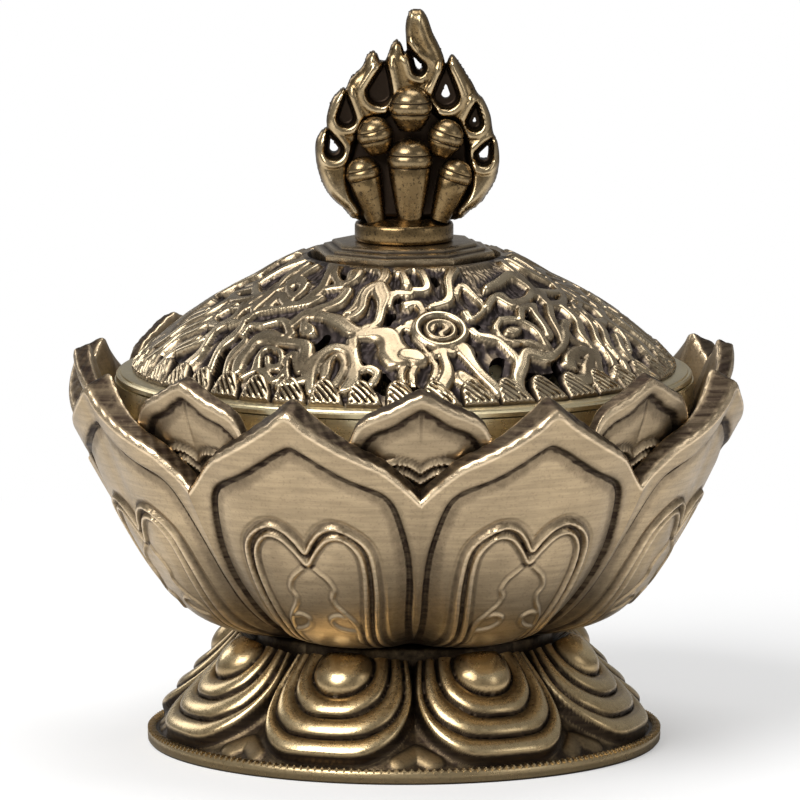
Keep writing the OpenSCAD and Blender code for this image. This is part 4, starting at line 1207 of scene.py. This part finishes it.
# Distances from the axis over which the floor turns white to the lens, and the least of that
WHITE_REACH = (0.06, 0.22)
WHITE_LEAST = 0.35
# Burner's axis against the middle of the view, as a share of the view's width
VIEW_SHIFT = -0.57 / 112
SENSOR_WIDTH = 36
# Soft lamps: place, side and power, and the spot that they all face
LAMP_AIM = (0, 0, 0.05)
LAMPS = {"key_lamp": ((-0.55, -0.7, 0.85), 0.75, 15), "fill_lamp": ((0.85, -0.55, 0.45), 0.45, 0.8),
         "top_lamp": ((0.1, 0.2, 1.1), 0.6, 5), "rim_lamp": ((-0.7, 0.7, 0.5), 0.4, 1.2)}


def plane(name, size, material):
    """Flat square on the floor level."""
    h = size / 2 / MM
    obj = make_mesh(name, [(-h, -h, 0), (h, -h, 0), (h, h, 0), (-h, h, 0)], [(0, 1, 2, 3)])
    obj.data.materials.append(material)
    return obj


def floor_material(name, color):
    """Matt floor that keeps the burner's shadow, white to the lens elsewhere, dim to metal."""
    material = bpy.data.materials.new(name)
    w = wired(material)
    place_at = w.node("ShaderNodeTexCoord").outputs["Object"]
    reach = w.node("ShaderNodeVectorMath", {0: place_at}, operation="LENGTH").outputs["Value"]
    behind = w.node("ShaderNodeSeparateXYZ", {"Vector": place_at}).outputs["Y"]
    path = w.node("ShaderNodeLightPath")
    shade = w.math("MULTIPLY", path.outputs["Is Glossy Ray"],
                   w.math("MAXIMUM", w.math("SUBTRACT", 1.0, w.ramp(reach, *SHADE_REACH)),
                          w.math("MULTIPLY", w.ramp(behind, *SHADE_BEHIND), 0.8)))
    tone = w.mix_color(w.math("MULTIPLY", shade, SHADE_STRENGTH), (*color, 1), SHADE)
    matt = w.node("ShaderNodeBsdfDiffuse", {"Color": tone})
    glow = w.node("ShaderNodeEmission", {"Color": WHITE, "Strength": 1.0})
    share = w.math("MAXIMUM", w.ramp(reach, *WHITE_REACH), WHITE_LEAST)
    seen = w.math("MULTIPLY", path.outputs["Is Camera Ray"], share)
    joined = w.node("ShaderNodeMixShader", {0: seen, 1: matt.outputs[0], 2: glow.outputs[0]})
    w.node("ShaderNodeOutputMaterial", {"Surface": joined.outputs[0]})
    return material


def lamp(name, spot, size, power):
    """Square soft lamp that faces the burner."""
    data = bpy.data.lights.new(name, "AREA")
    data.size = size
    data.energy = power
    obj = add_object(name, data)
    obj.location = spot
    aim = Vector(LAMP_AIM) - Vector(spot)
    obj.rotation_euler = aim.to_track_quat("-Z", "Y").to_euler()


def world_light(scene):
    """Surround that is white to the lens and softer as a light."""
    world = bpy.data.worlds.new("studio")
    w = wired(world)
    shine = w.node("ShaderNodeBackground", {"Color": WHITE, "Strength": 1.0})
    soft = w.node("ShaderNodeBackground", {"Color": WHITE, "Strength": SURROUND_LIGHT})
    path = w.node("ShaderNodeLightPath")
    joined = w.node("ShaderNodeMixShader", {0: path.outputs["Is Camera Ray"], 1: soft.outputs[0],
                                            2: shine.outputs[0]})
    w.node("ShaderNodeOutputWorld", {"Surface": joined.outputs[0]})
    scene.world = world


# ---------------------------------------------------------------- settings


class BurnerStageSettings(bpy.types.PropertyGroup):
    """Camera and light of the studio stage"""

    camera_distance: FloatProperty(
        name="Camera distance", description="From the lens to the burner's axis", default=1.5,
        unit="LENGTH")
    camera_elevation: FloatProperty(
        name="Camera elevation", description="Angle of the view above level",
        default=math.radians(8.6), subtype="ANGLE")
    aim_height: FloatProperty(
        name="Aim height", description="Height that the camera looks at", default=0.0481,
        unit="LENGTH")
    frame_width: FloatProperty(
        name="Frame width", description="Width seen at the axis", default=0.112, unit="LENGTH")
    floor_color: FloatVectorProperty(
        name="Floor", description="Colour of the floor", default=(0.86, 0.86, 0.86),
        subtype="COLOR", size=3)


def finish_colors(metal, deep, bright):
    """Three colour settings of a brass finish."""
    return {
        "metal": FloatVectorProperty(name="Metal", description="Plain brushed brass", default=metal,
                                     subtype="COLOR", size=3),
        # The dark patina colour is also the colour of the painted shade
        "deep": FloatVectorProperty(name="Patina and painted shade", description="Dark patina in the recesses",
                                    default=deep, subtype="COLOR", size=3),
        "bright": FloatVectorProperty(name="Rubbed", description="Rubbed edges and high spots",
                                      default=bright, subtype="COLOR", size=3)}


class BurnerPetalSettings(bpy.types.PropertyGroup):
    """Fineness of the petals and their brass"""

    columns: IntProperty(name="Columns", description="Vertices across a petal", default=190)
    rows: IntProperty(name="Rows", description="Vertices up a petal", default=188)
    __annotations__.update(finish_colors((0.52, 0.395, 0.245), (0.040, 0.026, 0.018),
                                         (0.82, 0.64, 0.42)))


class BurnerFootSettings(bpy.types.PropertyGroup):
    """Fineness of the foot, its milled rim and its brass"""

    columns: IntProperty(name="Columns", description="Vertices across a foot petal", default=100)
    rows: IntProperty(name="Rows", description="Vertices up the foot's slope", default=90)
    mill_count: IntProperty(name="Mill marks", description="Ribs round the rim", default=216)
    __annotations__.update(finish_colors((0.48, 0.35, 0.185), (0.035, 0.024, 0.017),
                                         (0.90, 0.71, 0.41)))


class BurnerLidSettings(bpy.types.PropertyGroup):
    """Fineness of the pierced lid and its brass"""

    columns: IntProperty(name="Columns", description="Vertices across a sector", default=122)
    rows: IntProperty(name="Rows", description="Vertices up the dome", default=119)
    crest_count: IntProperty(name="Crests", description="Wave crests round the rim", default=44)
    __annotations__.update(finish_colors((0.37, 0.285, 0.18), (0.036, 0.028, 0.027),
                                         (0.58, 0.47, 0.31)))


class BurnerFinialSettings(bpy.types.PropertyGroup):
    """Brass of the finial and its collar"""

    cell: FloatProperty(name="Cell", description="Spacing of the flames' vertices", default=0.0002,
                        unit="LENGTH")
    __annotations__.update(finish_colors((0.22, 0.148, 0.068), (0.028, 0.019, 0.013),
                                         (0.56, 0.43, 0.255)))


class BurnerInsideSettings(bpy.types.PropertyGroup):
    """Bright brass of the bowl and the finish of the small hidden parts"""

    __annotations__ = finish_colors((0.74, 0.64, 0.41), (0.05, 0.035, 0.02), (0.88, 0.78, 0.54))
    steel: FloatVectorProperty(name="Steel", description="Plated steel of the fasteners",
                               default=(0.55, 0.54, 0.52), subtype="COLOR", size=3)
    fibre: FloatVectorProperty(name="Fibre", description="Heat-proof fibre of the mat",
                               default=(0.78, 0.75, 0.68), subtype="COLOR", size=3)


# ---------------------------------------------------------------- operators


class BURNER_OT_outer_petals(bpy.types.Operator):
    """Builds the eight outer petals of the cup"""

    bl_idname = "burner.outer_petals"
    bl_label = "Outer Petals"

    def execute(self, context):
        s = context.scene.burner_petals
        brass = antique_brass("petal_brass", s.metal, s.deep, s.bright, mottle=0.5, grain=0.8)
        first = petal_shell("outer_petal_1", OUTER_CUP, s.columns, s.rows, outer_relief,
                            PETAL_TURN)
        for petal in round_copies(first, "outer_petal", PETAL_COUNT):
            place(petal, "burner", brass, ["outer_petals"])
        return {"FINISHED"}


class BURNER_OT_inner_petals(bpy.types.Operator):
    """Builds the eight inner petals, behind the valleys of the outer ones"""

    bl_idname = "burner.inner_petals"
    bl_label = "Inner Petals"

    def execute(self, context):
        s = context.scene.burner_petals
        # A darker copy of the petal brass: painted shade for the inner petals behind the outer ones
        brass = antique_brass("inner_petal_brass_shaded", [0.8 * c for c in s.metal], s.deep,
                              [0.85 * c for c in s.bright], grain=0.7)
        first = petal_shell("inner_petal_1", INNER_CUP, s.columns * 5 // 6, s.rows * 4 // 5,
                            inner_relief, PETAL_TURN + PETAL_ANGLE / 2)
        for petal in round_copies(first, "inner_petal", PETAL_COUNT):
            place(petal, "burner", brass, ["inner_petals"])
        return {"FINISHED"}


class BURNER_OT_foot(bpy.types.Operator):
    """Builds the foot and the milled edge of its rim"""

    bl_idname = "burner.foot"
    bl_label = "Foot"

    def execute(self, context):
        s = context.scene.burner_foot
        brass = antique_brass("foot_brass", s.metal, s.deep, s.bright, gloss=0.3, mottle=0.35,
                              speckle=0.3, grain=0.3)
        place(foot_piece(s.columns, s.rows, PETAL_TURN), "burner", brass, ["foot"])
        ribs = ring_of("rim_milling", mill_rib(), s.mill_count, FOOT_RIM - 0.62,
                       RIM_HEIGHT - 0.08, brass)
        place(ribs, "burner", brass)
        return {"FINISHED"}


class BURNER_OT_lid(bpy.types.Operator):
    """Builds the pierced dome, its wave border, its ring and the stepped plate"""

    bl_idname = "burner.lid"
    bl_label = "Lid"

    def execute(self, context):
        s = context.scene.burner_lid
        brass = antique_brass("lid_brass", s.metal, s.deep, s.bright, gloss=0.29, mottle=0.6,
                              speckle=0.3, grain=0.1)
        pale = antique_brass("ring_brass", (0.68, 0.58, 0.36), s.deep, s.bright, gloss=0.32,
                             mottle=0.25, speckle=0.2, grain=0.35, masked=False)
        for number in range(len(LID_ORDER)):
            place(lid_sector(number, s.columns, s.rows), "lid", brass, ["lid_dome"])
        crests = ring_of("lid_crests", crest_piece(), s.crest_count, DOME_RADIUS,
                         RING_TOP - 0.1, brass)
        place(crests, "lid", brass)
        place(lid_ring(), "lid", pale, ["lid_dome"])
        place(stepped_plate(), "lid", brass, ["lid_dome"])
        return {"FINISHED"}


class BURNER_OT_finial(bpy.types.Operator):
    """Builds the flames, their jewels and the collar"""

    bl_idname = "burner.finial"
    bl_label = "Finial"

    def execute(self, context):
        s = context.scene.burner_finial
        brass = antique_brass("finial_brass", s.metal, s.deep, s.bright, gloss=0.27, mottle=0.3,
                              speckle=0.75, grain=0.0)
        place(flame_plate(s.cell / MM), "lid", brass, ["finial"])
        for face, side in ((-1, "front"), (1, "back")):
            for i, (x, z, y, radius, tail, tilt) in enumerate(JEWELS):
                piece = jewel(f"jewel_{side}_{i + 1}", (x, z, y), radius, tail, tilt, face)
                place(piece, "lid", brass, ["finial"])
        place(finial_collar(), "lid", brass, ["finial"])
        return {"FINISHED"}


class BURNER_OT_inside(bpy.types.Operator):
    """Finishes the bowl, the fasteners, the mat and the incense holder"""

    bl_idname = "burner.inside"
    bl_label = "Bowl and Hidden Parts"

    def execute(self, context):
        s = context.scene.burner_inside
        bowl = antique_brass("bowl_brass", s.metal, s.deep, s.bright, gloss=0.3, mottle=0.25,
                             speckle=0.15, grain=0.6, masked=False)
        holder = antique_brass("holder_brass", s.metal, s.deep, s.bright, gloss=0.24, mottle=0.2,
                               speckle=0.1, grain=0.4, masked=False)
        steel = antique_brass("fastener_steel", s.steel, (0.12, 0.11, 0.1), (0.8, 0.8, 0.8),
                              gloss=0.3, mottle=0.2, speckle=0.1, grain=0.4, masked=False)
        finishes = {"bowl_liner": bowl, "holder_dish": holder, "holder_pin": holder,
                    "ash_mat": fibre_material(s.fibre)}
        for name in ("clamp_bolt", "head_washer", "nut_washer", "clamp_nut", "finial_screw",
                     "finial_washer"):
            finishes[name] = steel
        for name, material in finishes.items():
            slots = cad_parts[name].data.materials
            slots.clear()
            slots.append(material)
        return {"FINISHED"}


class BURNER_OT_stage(bpy.types.Operator):
    """Sets the camera, the lamps and the pale floor"""

    bl_idname = "burner.stage"
    bl_label = "Stage"

    def execute(self, context):
        s = context.scene.burner_stage
        camera = bpy.data.cameras.new("camera")
        camera.sensor_width = SENSOR_WIDTH
        camera.lens = SENSOR_WIDTH * s.camera_distance / s.frame_width
        camera.shift_x = VIEW_SHIFT
        camera.clip_end = 20
        eye = add_object("camera", camera)
        e = s.camera_elevation
        eye.location = (0, -s.camera_distance * math.cos(e),
                        s.aim_height + s.camera_distance * math.sin(e))
        eye.rotation_euler = (math.radians(90) - e, 0, 0)
        context.scene.camera = eye
        floor = plane("floor", 6.0, floor_material("floor_white", s.floor_color))
        for name, (spot, size, power) in LAMPS.items():
            lamp(name, spot, size, power)
        world_light(context.scene)
        context.scene.view_settings.view_transform = "Standard"
        return {"FINISHED"}


class BURNER_PT_panel(bpy.types.Panel):
    """Lists the burner's pieces"""

    bl_idname = "BURNER_PT_panel"
    bl_label = "Incense Burner"
    bl_space_type = "VIEW_3D"
    bl_region_type = "UI"
    bl_category = "Burner"

    def draw(self, context):
        for operator in OPERATORS:
            self.layout.operator(operator.bl_idname)


SETTINGS = {"burner_stage": BurnerStageSettings, "burner_petals": BurnerPetalSettings,
            "burner_foot": BurnerFootSettings, "burner_lid": BurnerLidSettings,
            "burner_finial": BurnerFinialSettings, "burner_inside": BurnerInsideSettings}
OPERATORS = [BURNER_OT_foot, BURNER_OT_outer_petals, BURNER_OT_inner_petals, BURNER_OT_lid,
             BURNER_OT_finial, BURNER_OT_inside, BURNER_OT_stage]


def register():
    for item in [*SETTINGS.values(), *OPERATORS, BURNER_PT_panel]:
        bpy.utils.register_class(item)
    for name, item in SETTINGS.items():
        setattr(bpy.types.Scene, name, PointerProperty(type=item))


def unregister():
    for name in SETTINGS:
        delattr(bpy.types.Scene, name)
    for item in [BURNER_PT_panel, *OPERATORS[::-1], *list(SETTINGS.values())[::-1]]:
        bpy.utils.unregister_class(item)


def main():
    register()
    for operator in OPERATORS:
        group, name = operator.bl_idname.split(".")
        getattr(getattr(bpy.ops, group), name)()


if __name__ == "__main__":
    main()
